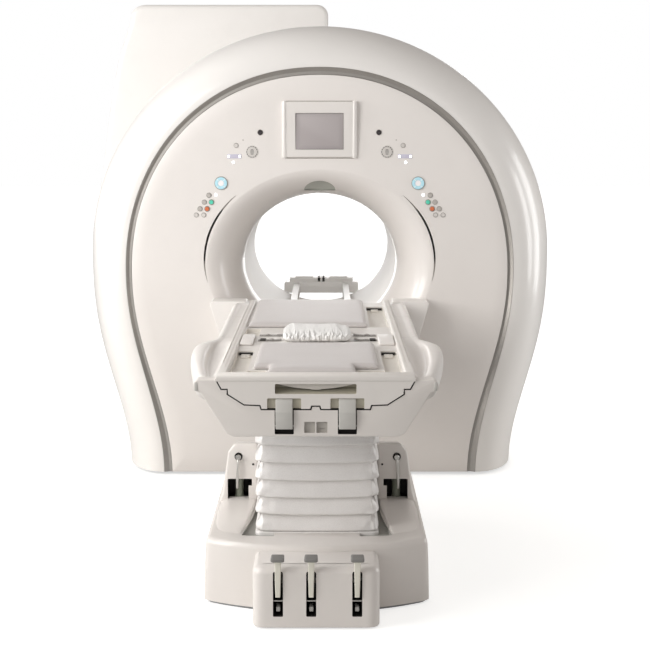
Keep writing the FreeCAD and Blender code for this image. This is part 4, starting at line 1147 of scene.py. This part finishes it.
def fairing_section(y):
    """Right side fairing's section: a ledge, or a sunk hand-hold inside a rounded rail, and the side."""
    half = curve_through(FAIRING_HALVES, FAIRING_PLACES, y)
    foot = curve_through(FAIRING_FOOTS, FAIRING_PLACES, y)
    sunk = max(0.0, curve_through(FAIRING_DEPTHS, FAIRING_PLACES, y))
    out = [(322, 822), (322, 838), (324, 841), (331, 841 - 0.35 * sunk), (338, 841 - 0.75 * sunk),
           (foot - 9, 841 - sunk), (foot - 2, 841 - 0.9 * sunk), (foot + 3, 841 - 0.45 * sunk), (foot + 8, 842),
           (foot + 17, 844.5), ((foot + half) / 2 + 4, 844.5), (half - 13, 840), (half - 5, 831),
           (half - 0.6, 818), (half, 800), (half - 1.5, 775), (half - 6, 752), (half - 16, 728),
           (half - 33, 706.4)]
    inside = [(half - 39, 706.4), (half - 24, 730), (half - 14, 756), (half - 9, 790), (half - 13, 814),
              (half - 24, 828), (foot + 8, 832), (foot - 2, 833 - sunk), (338, 833 - sunk),
              (330, 824 - 0.5 * sunk)]
    drop = curve_through([0.4, 0.4, 0.5, 0.9, 1.0, 1.0], [-2692, -2300, -2120, -1990, -1900, -860], y)
    return [(x, z if z > 800 or x < 340 else 800 - (800 - z) * drop) for x, z in out + inside]


def make_fairings():
    places = [-2691.3 + 700 * k / 60 for k in range(66)] + [-1921 + 1060 * k / 16 for k in range(17)]
    shape = loft([[(x, y, z) for x, z in fairing_section(y)] for y in places])
    piece("side_fairing_covers", "lift", "cover_gloss", fairing_paint, both_sides(shape),
          stands_for="side_fairings", smooth=1, crease=50)
    seam = []
    for k in range(2):
        y = (-1880, -1330)[k]
        section = [(x, z) for x, z in fairing_section(y)[2:18]]
        seam.append(rows_shape([[(x + 0.5, y + dy, z + 0.35) for x, z in section] for dy in (-0.9, 0.9)]
                               + [[(x - 2, y + dy, z - 1.5) for x, z in section] for dy in (0.9, -0.9)]))
    piece("fairing_joints", "lift", "grille_grey", grille_plastic, both_sides(joined(*seam)), crease=50)


def make_carriage():
    """Pressed steel pan and its cross bars; the near bar's ends are cranked up behind the end frame."""
    pan = [(-214, 655.3), (214, 655.3), (214, 700), (204, 706), (198, 706), (198, 665), (-198, 665),
           (-198, 706), (-204, 706), (-214, 700)]
    shapes = [soft_slab(rounded_outline(pan, [4, 4, 3, 2, 2, 5, 5, 2, 2, 3], 3), -2690, -868, 1.2, steps=2)]
    for y, reach in ((-1620, 359), (-1240, 361), (-926, 363)):
        bar = rounded_outline(rectangle(-reach, reach, 682, 706), 4, 3)
        shapes.append(soft_slab(bar, y - 20, y + 20, 1.5, steps=2))
    right = [(214, 681), (262, 681), (300, 716), (352, 790), (352, 812), (338, 812), (286, 738), (254, 705),
             (214, 705)]
    for side in (-1, 1):
        arm = [(side * x, z) for x, z in right]
        shapes.append(soft_slab(rounded_outline(arm if side > 0 else arm[::-1],
                                                [0, 20, 24, 10, 4, 4, 24, 20, 0] if side > 0 else [0, 20, 24, 4,
                                                                                                   4, 10, 24,
                                                                                                   20, 0], 4),
                                -2681, -2641, 1.5, steps=2))
    piece("carriage_pan", "lift", "base_steel", steel, joined(*shapes), stands_for="carriage_frame", crease=30)


make_cradle_board()
make_end_panel()
make_carriage()
make_end_frame()
make_fairings()


# ---- bellows ---------------------------------------------------------------------------------------
def round_rectangle(x0, x1, y0, y1, radius, gap):
    """Evenly spaced points round a rectangle with round corners, about gap apart."""
    points = []
    for cx, cy, start in ((x1, y0, -pi / 2), (x1, y1, 0), (x0, y1, pi / 2), (x0, y0, pi)):
        mx = cx - radius if cx == x1 else cx + radius
        my = cy + radius if cy == y0 else cy - radius
        steps = 6
        points += [(mx + radius * cos(start + pi / 2 * k / steps),
                    my + radius * sin(start + pi / 2 * k / steps)) for k in range(steps + 1)]
    made = []
    for i, (ax, ay) in enumerate(points):
        bx, by = points[(i + 1) % len(points)]
        runs = max(1, round(hypot(bx - ax, by - ay) / gap))
        made += [(ax + (bx - ax) * k / runs, ay + (by - ay) * k / runs) for k in range(runs)]
    return made


def make_bellows():
    """Seven soft folds; each leans out to a ridge, then tucks in under it, and puckers at the corners."""
    x0, x1, y0, y1 = -221.0, 221.0, -2350.0, -1720.0
    low, high, folds = 217.0, 654.3, 7
    pitch = (high - low) / folds
    profile = [(0.0, 0.02), (0.05, 0.42), (0.11, 0.86), (0.16, 1.0), (0.24, 0.97), (0.36, 0.86), (0.48, 0.74),
               (0.60, 0.60), (0.72, 0.45), (0.83, 0.30), (0.92, 0.14), (0.97, 0.05)]
    ring = round_rectangle(x0, x1, y0, y1, 26, 9.0)
    rows = []
    for fold in range(folds):
        for share, out in profile:
            rows.append((fold, low + (fold + share) * pitch, out))
    rows.append((folds - 1, high, 0.0))
    made = []
    for wall in (0.0, 2.6):
        layer = []
        for fold, z, out in rows:
            line = []
            for x, y in ring:
                corner = min(hypot(x - cx, y - cy) for cx in (x0, x1) for cy in (y0, y1))
                near = exp(-(corner / 46.0) ** 2)
                middle_x = 1 - min(1, abs(x) / 221.0) ** 2
                middle_y = 1 - min(1, abs(y + 2035) / 315.0) ** 2
                across = middle_x if y < y0 + 30 or y > y1 - 30 else middle_y
                sag = -9.0 * across * sin(pi * min(1, max(0, (z - low) / (high - low)))) ** 0.4 * (0.3
                                                                                                   + 0.7 * out)
                crumple = noise.noise(Vector((x * 0.045, y * 0.045, z * 0.06 + fold * 3.7)))
                fine = noise.noise(Vector((x * 0.13 + 9, y * 0.13, z * 0.16)))
                broad = noise.noise(Vector((x * 0.012, y * 0.012 + 4, fold * 1.9)))
                inwards = 17.0 * (1 - out) + near * (5.0 + 8.0 * crumple + 4.5 * fine) \
                    + (1 - near) * (1.2 * crumple * out + 1.6 * broad) + wall
                inwards = max(0.3 + wall, inwards)
                nx = -1 if x > x1 - 26 else 1 if x < x0 + 26 else 0
                ny = -1 if y > y1 - 26 else 1 if y < y0 + 26 else 0
                length = hypot(nx, ny) or 1
                lift = near * 5.0 * fine * (1 if 0.1 < out else 0.3)
                edge = min(1.0, (z - low) / 14.0, (high - z) / 14.0)
                line.append((x + nx / length * inwards * (1.25 if nx and ny else 1), y + ny / length * inwards
                             * (1.25 if nx and ny else 1), z + (sag + lift) * max(0.0, edge)))
            layer.append(line)
        made.append(layer)
    shape = rows_shape(made[0] + made[1][::-1], around=True)
    thing = piece("bellows_skirt", "lift", "bellows_vinyl", vinyl, shape, stands_for="bellows", crease=70,
                  smooth=1)
    ring = round_rectangle(-219, 219, -2348, -1722, 24, 20)
    rows = [[(x * (1 - d / 219), -2035 + (y + 2035) * (1 - d / 313), z) for x, y in ring]
            for d, z in ((0, 206.5), (0, 215), (1.5, 218.5), (4, 220), (12, 220), (14, 206.5))]
    piece("bellows_foot", "gantry", "bellows_vinyl", vinyl, rows_shape(rows, around=True), crease=40)
    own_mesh(thing)
    return thing


# ---- base ------------------------------------------------------------------------------------------
BASE_HALF, BASE_FRONT, BASE_REAR, BASE_BOW = 390.0, -2448.0, -1450.0, 104.0


def base_plan(inwards=0.0):
    """Plan of the base: straight sides and rear with round corners, and a bowed front."""
    half, front, rear, bow = BASE_HALF - inwards, BASE_FRONT + inwards, BASE_REAR - inwards, BASE_BOW
    radius = (half * half + bow * bow) / (2 * bow)
    middle = front - bow + radius
    reach = acos(1 - (radius - sqrt(radius ** 2 - half ** 2)) / radius)
    arc = [(radius * sin(reach * k / 24), middle - radius * cos(reach * k / 24)) for k in range(-23, 24)]
    corners = [(-half, rear), (-half, front)] + arc + [(half, front), (half, rear)]
    radii = [60 - inwards, 40 - inwards] + [0] * len(arc) + [40 - inwards, 60 - inwards]
    return rounded_outline(corners, radii, 8)


def evened(outline, centre, count=240):
    """The outline's points along evenly spaced directions from centre."""
    made = []
    for k in range(count):
        angle = 2 * pi * k / count - pi / 2
        dx, dy = cos(angle), sin(angle)
        best = None
        for i in range(len(outline)):
            (ax, ay), (bx, by) = outline[i - 1], outline[i]
            ex, ey = bx - ax, by - ay
            cross = dx * ey - dy * ex
            if abs(cross) < 1e-12:
                continue
            t = ((ax - centre[0]) * ey - (ay - centre[1]) * ex) / cross
            s = ((ax - centre[0]) * dy - (ay - centre[1]) * dx) / cross
            if t > 0 and -1e-9 <= s <= 1 + 1e-9 and (best is None or t < best):
                best = t
        made.append((centre[0] + dx * best, centre[1] + dy * best))
    return made


def make_base():
    centre = (0.0, -1960.0)
    count = 240
    outer, inner = (evened(base_plan(inwards), centre, count) for inwards in (0.0, 7.0))
    foot = evened(round_rectangle(-214, 214, -2344, -1726, 24, 20), centre, count)

    def at(share, z, ring=outer):
        return [(x + (fx - x) * share, y + (fy - y) * share, z) for (x, y), (fx, fy) in zip(ring, foot)]

    rows = [at(0, 6.5, inner), at(0, 10), at(0.004, 60), at(0.012, 130), at(0.022, 176), at(0.03, 204)]
    for k in range(1, 10):
        angle = pi / 2 * k / 9
        rows.append(at(0.03 + 0.085 * (1 - cos(angle)), 204 + 25 * sin(angle)))
    for share, z in ((0.16, 229), (0.3, 228.5), (0.5, 226), (0.7, 222), (0.85, 218.5), (0.95, 216.5),
                     (1.0, 216), (1.06, 216)):
        rows.append(at(share, z))
    rows += [at(1.06, 206), at(0.16, 206, inner), at(0.04, 180, inner), at(0.02, 150, inner)]
    # the trenches' cut faces take the dark grey: painted shade
    trenches = []
    for side in (-1, 1):
        plan = [(side * x, y) for x, y in ((150, -2405), (263, -2405), (236, -2150), (229, -1990),
                                           (150, -1990))]
        trenches.append(prism(plan if side > 0 else plan[::-1], 207, 300, axis="z").painted(1))
    piece("base_shell", "gantry", "cover_gloss", [base_paint, trench_grey], rows_shape(rows, around=True),
          stands_for="base_cover", cuts=trenches, crease=40)


def ramp_section(y):
    """Right shoulder between the base's front and the pod, beside the trench along the bellows."""
    places = [-2420, -2340, -2220, -2100, -2000, -1960]
    inner = curve_through([266, 259, 248, 238, 231, 230], places, y)
    top = curve_through([224, 231, 235.5, 239.5, 242, 243], places, y)
    outer = curve_through([352, 366, 370, 368, 362, 360], places, y)
    low = curve_through([360, 378, 384, 384, 384, 384], places, y)
    return [(inner, 200), (inner, (200 + top) / 2), (inner + 0.6, top - 4), (inner + 4, top - 0.6),
            (inner + 26, top), ((inner + outer) / 2, top), (outer - 24, top - 0.4), (outer - 9, top - 3),
            (outer, top - 9), ((outer + low) / 2 + 2, top - 24), (low, 200), (low - 20, 196), (inner + 20, 196)]


def make_pods():
    places = [-2420 + 460 * k / 24 for k in range(25)]
    ramp = loft([[(x, y, z) for x, z in ramp_section(y)] for y in places])
    piece("pod_ramps", "gantry", "cover_gloss", base_paint, both_sides(ramp), smooth=1, crease=50)
    outline = rounded_outline([(226, 195), (385, 195), (361, 262), (339, 424), (314, 455), (226, 455)],
                              [0, 0, 30, 16, 20, 12], 6)
    body = soft_slab(outline, -2000, -1810, 9, steps=5)
    for point in body.points:
        if point.z > 300:
            point.z -= (point.y + 2000) * 0.2 * (point.z - 300) / 155
    # the pod's slot, rod hole and pin hole get near-black faces: painted shade inside them
    cuts = [prism(rounded_outline([(262, 240), (341, 240), (341, 318), (249, 318), (249, 292), (262, 292)],
                                  [2, 3, 6, 2, 2, 2], 3), -2030, -1912).painted(1),
            lathe(rectangle(0, 13, -2030, -1945), (299, 0, 404), steps=36).painted(1),
            lathe(rectangle(0, 4.2, -2030, -1980), (244, 0, 374), steps=24).painted(1)]
    for side, word in ((1, "right"), (-1, "left")):
        made, holes = (body, cuts) if side > 0 else (body.mirrored(), [cut.mirrored() for cut in cuts])
        piece(f"pod_{word}", "gantry", "cover_gloss", [base_paint, recess_dark], made, cuts=holes,
              stands_for="dock_pods" if side > 0 else (), crease=32)
    # dark ring round each rod's hole: painted shade of the hole
    ring = [(15.4, -2000.4), (15.4, -2001.6), (14.4, -2002.4), (13.2, -2002.0), (12.6, -1996)]
    rings = rows_shape([[(299 + r * cos(2 * pi * k / 40), y, 404 + r * sin(2 * pi * k / 40))
                         for k in range(40)] for r, y in ring] + [[(299 + 15.4 * cos(2 * pi * k / 40), -1996,
                                                                    404 + 15.4 * sin(2 * pi * k / 40))
                                                                   for k in range(40)]], around=True)
    piece("rod_sleeves", "gantry", "strut_grey", slit_shade, both_sides(rings), crease=30)
    post = lathe([(0, 240.2), (17, 240.2), (17, 246), (15.6, 247.4), (15.6, 297), (17, 298.5), (17, 311),
                  (15, 313.5), (9, 314.5), (9, 318), (0, 318)], (299, -1960, 0), "z", 40)
    piece("pod_posts", "gantry", "strut_grey", strut_paint, both_sides(post), stands_for="dock_struts",
          crease=30)
    bent = [(299, -1946, 404), (299, -1976, 404), (299, -1994, 403.5), (299, -2004, 400), (299.4, -2010, 392),
            (300, -2012, 379), (301.5, -2012, 357), (303, -2012, 335), (304, -2011.5, 312), (304, -2010, 286)]
    end = lathe([(0, -2019), (9.0, -2019), (10, -2017.6), (10, -2007.5), (9, -2006), (0, -2006)], (299, 0, 404),
                steps=28)
    piece("pod_rods", "gantry", "pin_steel", pin_metal, both_sides(joined(tube(bent, 5.2, 20), end)), crease=40)


# ---- pedals ----------------------------------------------------------------------------------------
CONSOLE_FRONT = -2700.0
PEDALS = ((-125, "left"), (-16, "middle"), (135, "right"))
AXLE = (-2572.0, 130.0)


def make_console():
    plan = rounded_outline(rectangle(-210, 210, CONSOLE_FRONT, -2500), [44, 44, 0, 0], 10)
    rows = [(2, 6.5), (0, 9), (0, 100), (0, 184)]
    rows += [(24 * (1 - cos(pi / 2 * k / 8)), 184 + 24 * sin(pi / 2 * k / 8)) for k in range(1, 9)]
    rows.append((38, 211.4))
    shape = loft([[(x, y, z) for x, y in (grown(plan, -inwards) if inwards else plan)] for inwards, z in rows])
    cuts = []
    # the pedal slots' cut faces get near black: painted shade in the slots
    for x, _ in PEDALS:
        cuts.append(prism(rounded_outline(rectangle(x - 16.5, x + 16.5, 44, 195),
                                          [4, 4, 7, 7], 4), -2760, -2560).painted(1))
    piece("console_body", "gantry", "cover_gloss", [base_paint, recess_dark], shape, cuts=cuts,
          stands_for="pedal_console", crease=30)
    blocks, guides = [], []
    for x, _ in PEDALS:
        blocks.append(soft_slab(rounded_outline(rectangle(x - 7, x + 7, 56, 72), 3, 3), -2686, -2650,
                                2, steps=2))
        guides.append(tube([(x - 16.4, -2680, 91), (x, -2680, 91), (x + 16.4, -2680, 91)], 3.0, 16, ends=False))
    piece("slot_stops", "gantry", "base_steel", latch_paint, joined(*blocks), crease=30)
    piece("slot_pins", "gantry", "pin_steel", pin_metal, joined(*guides), crease=30)


def make_pedals():
    """Each pedal: a tapered tongue before its slot, an arm back to the axle, and a flat rubber pad on top."""
    for x, word in PEDALS:
        sections = []
        for k in range(15):
            share = k / 14
            z, width, y = 112 + 127.5 * share, 7.8 + 3.2 * share ** 0.8, -2708.5 - 1.5 * sin(pi * share)
            sections.append([(x - width, y + 2, z), (x - width + 2, y, z), (x + width - 2, y, z),
                             (x + width, y + 2, z), (x + width, y + 6.5, z), (x - width, y + 6.5, z)])
        arm = soft_slab(rounded_outline(rectangle(x - 6, x + 6, 121, 139), 2, 3), -2704, -2580, 1,
                        steps=2)
        hub = lathe([(0, x - 12), (15, x - 12), (16, x - 11), (16, x + 11), (15, x + 12), (0, x + 12)],
                    (0, *AXLE), "x", 40)
        plate = soft_slab(rounded_outline(rectangle(x - 17, x + 17, -2732, -2699), 4, 3), 236.5,
                          240.5, 1, axis="z", steps=2)
        piece(f"pedal_arm_{word}", f"foot_{word}", "lever_cream", tongue_paint,
              joined(loft(sections), arm, hub, plate), stands_for=f"pedal_{word}", crease=32)
        pad = soft_slab(rounded_outline([(x - 22.5, -2743), (x + 22.5, -2743), (x + 21, -2696),
                                         (x - 21, -2696)], [8, 8, 5, 5], 6), 240.3, 254, 4, axis="z", steps=5)
        ribs = [soft_slab(rounded_outline(rectangle(x - 16, x + 16, y, y + 2.4), 1.1, 3), 252.8,
                          254.7, 0.7, axis="z", steps=2) for y in (-2736, -2729, -2722, -2715, -2708)]
        piece(f"pedal_rubber_{word}", f"foot_{word}", "pedal_rubber", rubber, joined(pad, *ribs),
              stands_for=f"pedal_pad_{word}", crease=32)


make_bellows()
make_base()
make_pods()
make_console()
make_pedals()


# ---- pads, roll and straps ---------------------------------------------------------------------------
def mat_shape(rectangles, gap, low, thickness, edge):
    """A flat stuffed mat over the union of rectangles (x0, x1, y0, y1), rounded down to its edges."""
    def lines(values):
        values = sorted(set(values))
        made = [values[0]]
        for a, b in zip(values, values[1:]):
            runs = max(1, round((b - a) / gap))
            made += [a + (b - a) * k / runs for k in range(1, runs + 1)]
        return made

    xs = lines([v for r in rectangles for v in r[:2]])
    ys = lines([v for r in rectangles for v in r[2:]])

    def inside(x, y):
        return any(r[0] < x < r[1] and r[2] < y < r[3] for r in rectangles)

    cells = {(i, j) for i in range(len(xs) - 1) for j in range(len(ys) - 1)
             if inside((xs[i] + xs[i + 1]) / 2, (ys[j] + ys[j + 1]) / 2)}
    used = {(i + a, j + b) for i, j in cells for a in (0, 1) for b in (0, 1)}
    rim = {(i, j) for i, j in used if not all((i - a, j - b) in cells for a in (0, 1) for b in (0, 1))}
    rim_points = [(xs[i], ys[j]) for i, j in rim]
    shape = Shape()
    index = {}

    def point(i, j, layer):
        if (i, j, layer) not in index:
            x, y = xs[i], ys[j]
            away = min(hypot(x - a, y - b) for a, b in rim_points)
            full = sqrt(max(0.0, 1 - (1 - min(1.0, away / edge)) ** 2))
            wave = noise.noise(Vector((x * 0.011, y * 0.011, low * 0.1))) * 1.6 * min(1, away / 60)
            top = low + thickness * (0.62 + 0.38 * full) + wave * 0.5
            z = {0: low, 1: low + thickness * 0.31, 2: top}[layer]
            index[i, j, layer] = len(shape.points)
            shape.points.append(Vector((x, y, z)))
        return index[i, j, layer]

    def face(*corners):
        shape.faces.append(tuple(point(*c) for c in corners))
        shape.finishes.append(0)

    for i, j in sorted(cells):
        face((i, j, 2), (i + 1, j, 2), (i + 1, j + 1, 2), (i, j + 1, 2))
        face((i, j, 0), (i, j + 1, 0), (i + 1, j + 1, 0), (i + 1, j, 0))
        for (di, dj), (a, b) in (((0, -1), ((i, j), (i + 1, j))), ((1, 0), ((i + 1, j), (i + 1, j + 1))),
                                 ((0, 1), ((i + 1, j + 1), (i, j + 1))), ((-1, 0), ((i, j + 1), (i, j)))):
            if (i + di, j + dj) not in cells:
                for layer in (0, 1):
                    face((*a, layer), (*b, layer), (*b, layer + 1), (*a, layer + 1))
    return shape


def plumped(thing, cap, low, pressure=4.0):
    """Swells a stuffed piece with a short cloth simulation, and keeps each point within cap mm of its start."""
    rest = [v.co.copy() for v in thing.data.vertices]
    change = thing.modifiers.new("fill", "CLOTH")
    cloth = change.settings
    cloth.quality, cloth.mass = 6, 0.3
    cloth.tension_stiffness = cloth.compression_stiffness = 25
    cloth.shear_stiffness, cloth.bending_stiffness = 10, 1.2
    cloth.use_pressure, cloth.uniform_pressure_force = True, pressure
    cloth.effector_weights.gravity = 0
    change.point_cache.frame_start, change.point_cache.frame_end = 1, 20
    scene = bpy.context.scene
    for step in range(1, 21):
        scene.frame_set(step)
    applied(thing)
    scene.frame_set(1)
    for vertex, start in zip(thing.data.vertices, rest):
        move = vertex.co - start
        if move.length > cap * MM:
            move *= cap * MM / move.length
        vertex.co = start + move
        vertex.co.z = max(vertex.co.z, low * MM)
    return thing


def softened(thing, levels=1):
    change = thing.modifiers.new("soften", "SUBSURF")
    change.levels = change.render_levels = levels
    applied(thing)
    thing.data.shade_smooth()
    return thing


def make_pads():
    low = DECK + 0.35
    mats = (("head_mat", "head_pad", ((-279, 197, -1668, -921),), 19.0),
            ("foot_mat", "foot_pad", ((-209, 209, -2588, -2133), (-157, 130, -2684, -2588)), 20.0))
    for name, node, rectangles, thickness in mats:
        thing = piece(name, "cradle", "pad_vinyl", pad_cover, mat_shape(rectangles, 11.0, low, thickness, 14.0),
                      stands_for=node, crease=80)
        plumped(thing, 2.5, low)
        softened(thing)


def roll_shape(low):
    """A folded cloth bolster: smooth on top, gathered along its near edge and drawn in at its ends."""
    around, along = 64, 150
    rows = []
    for k in range(along + 1):
        share = k / along
        x = -134 + 262 * share
        end = min(share, 1 - share) * 262
        full = 1 - 0.45 * exp(-(end / 10.0) ** 1.5)
        ring = []
        for j in range(around):
            angle = 2 * pi * j / around
            c, s = cos(angle), sin(angle)
            y = -1920 + 146 * full * (abs(c) ** 0.75) * (1 if c > 0 else -1)
            z = low + 20 + (19 if s > 0 else 19.4) * full * (abs(s) ** 0.62) * (1 if s > 0 else -1)
            nearness = max(0.0, -c) ** 1.6
            pleat = noise.noise(Vector((x * 0.10, s * 1.8, 3.1))) + 0.6 * noise.noise(Vector((x * 0.23, s * 3.0,
                                                                                              7.7)))
            broad = noise.noise(Vector((x * 0.02, c * 1.3, 1.4)))
            y += -nearness * 9.0 * pleat
            z += nearness * 6.0 * pleat * (1 if s > -0.2 else 0.2) + (2.2 * broad if s > 0 else 0)
            z += exp(-(end / 26.0) ** 2) * 4.0 * noise.noise(Vector((x * 0.06, y * 0.09,
                                                                     2.0))) * (1 if s > 0 else 0)
            ring.append((x, max(-2068, min(-1772, y)), max(low, min(low + 41, z))))
        rows.append(ring)
    return loft(rows)


def make_roll():
    low = DECK + 0.35
    thing = piece("bolster", "cradle", "roll_fabric", roll_cloth, roll_shape(low), stands_for="rolled_pad",
                  crease=80)
    plumped(thing, 3.0, low, 2.0)
    softened(thing)


def make_straps():
    """Flat webbing on each side of the bolster, with a slide on the near right one."""
    bands = []
    for side in (-1, 1):
        for y, half, turn in ((-1985, 18, 3.0), (-1870, 17, -2.0)):
            rows = []
            for k in range(29):
                x = 136 + 87 * k / 28
                ripple = 5.5 * noise.noise(Vector((x * 0.05, side * 3.0, y * 0.1)))
                height = DECK + 1.4 + 3.0 * exp(-((x - 140) / 14) ** 2) + max(0, ripple)
                skew = turn * (k / 28) * side
                rows.append([(side * x, y + skew + across * half, height + edge) for across,
                             edge in ((-1, -0.7), (-1, 0.6), (-0.93, 0.95), (-0.5, 1.0), (0, 0.95), (0.5, 1.0),
                                      (0.93, 0.95), (1, 0.6), (1, -0.7))])
            bands.append(loft(rows))
    piece("strap_bands", "cradle", "strap_web", webbing, joined(*bands), stands_for="straps", crease=50)
    slides = []
    for side, x in ((-1, 205), (1, 207)):
        slides.append(soft_slab(rounded_outline(rectangle(side * x - 11, side * x + 11, -2005, -1965), 4, 4),
                                DECK + 0.6, DECK + 6.0, 1.8, axis="z", steps=3))
    piece("strap_slides", "cradle", "strap_web", recess_dark, joined(*slides), crease=30)


make_pads()
make_roll()
make_straps()


# ---- nodes kept from the frame, with their finishes --------------------------------------------------
def dress(finishes):
    """Gives each kept node its finish."""
    for node, finish in finishes.items():
        thing = bpy.data.objects[node]
        thing.data.materials.clear() if not thing.material_slots else None
        for holder in thing.material_slots:
            holder.material = finish
        if not thing.material_slots:
            thing.data.materials.append(finish)


dress({"magnet_base": steel, "vacuum_vessel": vessel_metal, "helium_vessel": vessel_metal,
       "suspension_rods": rod_fibre, "magnet_coils": copper, "service_neck": vessel_metal,
       "cold_head": head_metal, "gradient_coil": resin, "rf_body_coil": resin, "base_frame": steel,
       "lift_mast_outer": steel, "lift_mast_inner": steel, "cradle_guides": aluminium, "pedal_axle": pin_metal})


# ---- floor, light and camera -------------------------------------------------------------------------
def make_floor():
    """A pale floor that runs out to the white of the backdrop."""
    size, steps = 30000.0, 24
    rows = [[(-size + 2 * size * i / steps, -size + 2 * size * j / steps, 0.0) for i in range(steps + 1)]
            for j in range(steps + 1)]
    floor = bare_object("studio_floor", rows_shape(rows, wrap=False, caps=False))
    made = Finish("studio_floor", Emission_Strength=1.0)
    across, along = made.axis("X"), made.axis("Y") + 1.0
    far = (across * across + along * along).held(3.0, 14.0)
    tone = made.mix(made.noise(0.8, 3.0, 0.5), (0.60, 0.60, 0.595), (0.63, 0.63, 0.625))
    glow = made.mix(far, (0.62, 0.62, 0.615), (1.0, 1.0, 1.0))
    seen = made.node("ShaderNodeLightPath")
    floor.data.materials.append(made.shaded(made.mix(far, tone, (0.3, 0.3, 0.3)), 0.6 + 0.1 * made.noise(6),
                                            Emission_Color=made.mix(seen, (0.05, 0.05, 0.05), glow)))


def make_sky():
    """A white backdrop, and a soft light from all round that is strongest from the front left."""
    world = bpy.data.worlds.new("studio")
    bpy.context.scene.world = world
    world.use_nodes = True
    nodes, links = world.node_tree.nodes, world.node_tree.links
    spot = nodes.new("ShaderNodeTexCoord")
    lean = nodes.new("ShaderNodeVectorMath")
    lean.operation = "DOT_PRODUCT"
    lean.inputs[1].default_value = (-0.86, -0.34, -0.38)
    spread = nodes.new("ShaderNodeMapRange")
    spread.inputs[1].default_value, spread.inputs[2].default_value = -0.85, 0.85
    ramp = nodes.new("ShaderNodeValToRGB")
    for stop, (place, shade) in zip(ramp.color_ramp.elements,
                                    ((0.0, (0.25, 0.225, 0.205)), (1.0, (0.93, 0.91, 0.895)))):
        stop.position, stop.color = place, (*shade, 1)
    both = nodes.new("ShaderNodeMix")
    both.data_type = "RGBA"
    both.inputs[7].default_value = (1, 1, 1, 1)
    seen = nodes.new("ShaderNodeLightPath")
    links.new(spot.outputs["Generated"], lean.inputs[0])
    links.new(lean.outputs["Value"], spread.inputs[0])
    links.new(spread.outputs[0], ramp.inputs[0])
    links.new(ramp.outputs[0], both.inputs[6])
    links.new(seen.outputs["Is Camera Ray"], both.inputs[0])
    links.new(both.outputs[2], nodes["Background"].inputs["Color"])
    nodes["Background"].inputs["Strength"].default_value = 1.0


def make_light(name, place, target, size, power, tone=(1, 1, 1)):
    light = bpy.data.lights.new(name, "AREA")
    light.shape, light.size, light.size_y = "RECTANGLE", *size
    light.energy, light.color = power, tone
    holder = bpy.data.objects.new(name, light)
    holder.location = place
    holder.rotation_euler = (Vector(target) - Vector(place)).to_track_quat("-Z", "Y").to_euler()
    bpy.context.scene.collection.objects.link(holder)


def make_spot(name, place, target, power, degrees):
    light = bpy.data.lights.new(name, "SPOT")
    light.energy, light.spot_size, light.spot_blend, light.shadow_soft_size = power, radians(degrees), 0.6, 0.15
    holder = bpy.data.objects.new(name, light)
    holder.location = place
    holder.rotation_euler = (Vector(target) - Vector(place)).to_track_quat("-Z", "Y").to_euler()
    bpy.context.scene.collection.objects.link(holder)


def make_camera():
    lens = bpy.data.cameras.new("camera")
    lens.sensor_width, lens.lens = 36.0, 73.2
    lens.shift_x, lens.shift_y = -0.0046, -0.10
    lens.clip_end = 200
    camera = bpy.data.objects.new("camera", lens)
    camera.location = (0.039, -6.90, 1.64)
    camera.rotation_euler = (radians(90 - 5.7), 0, 0)
    bpy.context.scene.collection.objects.link(camera)
    bpy.context.scene.camera = camera


make_floor()
make_sky()
make_light("key", (-4.6, -4.6, 2.4), (0, -1.2, 0.8), (2.4, 2.4), 140, (1.0, 0.98, 0.955))
make_light("left_rim", (-4.8, -0.6, 2.2), (0, -0.2, 1.1), (1.6, 3.2), 40)
make_light("right_rim", (4.8, 0.6, 1.6), (0, 0.0, 1.0), (1.4, 3.0), 55)
make_light("right_fill", (4.4, -1.35, 1.5), (0.2, -0.7, 1.0), (1.0, 2.2), 42)
make_light("bore_back", (0.2, 3.6, 1.5), (0, 0, 0.95), (2.4, 2.0), 40)
make_light("table_key", (-2.3, -3.3, 3.0), (0, -2.1, 0.7), (1.2, 1.2), 30)
make_spot("bore_spot", (-0.1, -4.6, 1.75), (0, 0.72, 0.79), 150, 9)
make_light("grazing", (-3.2, -1.75, 1.9), (0, -0.77, 1.5), (0.5, 1.0), 16)
make_camera()
bpy.context.scene.view_settings.view_transform = "Standard"
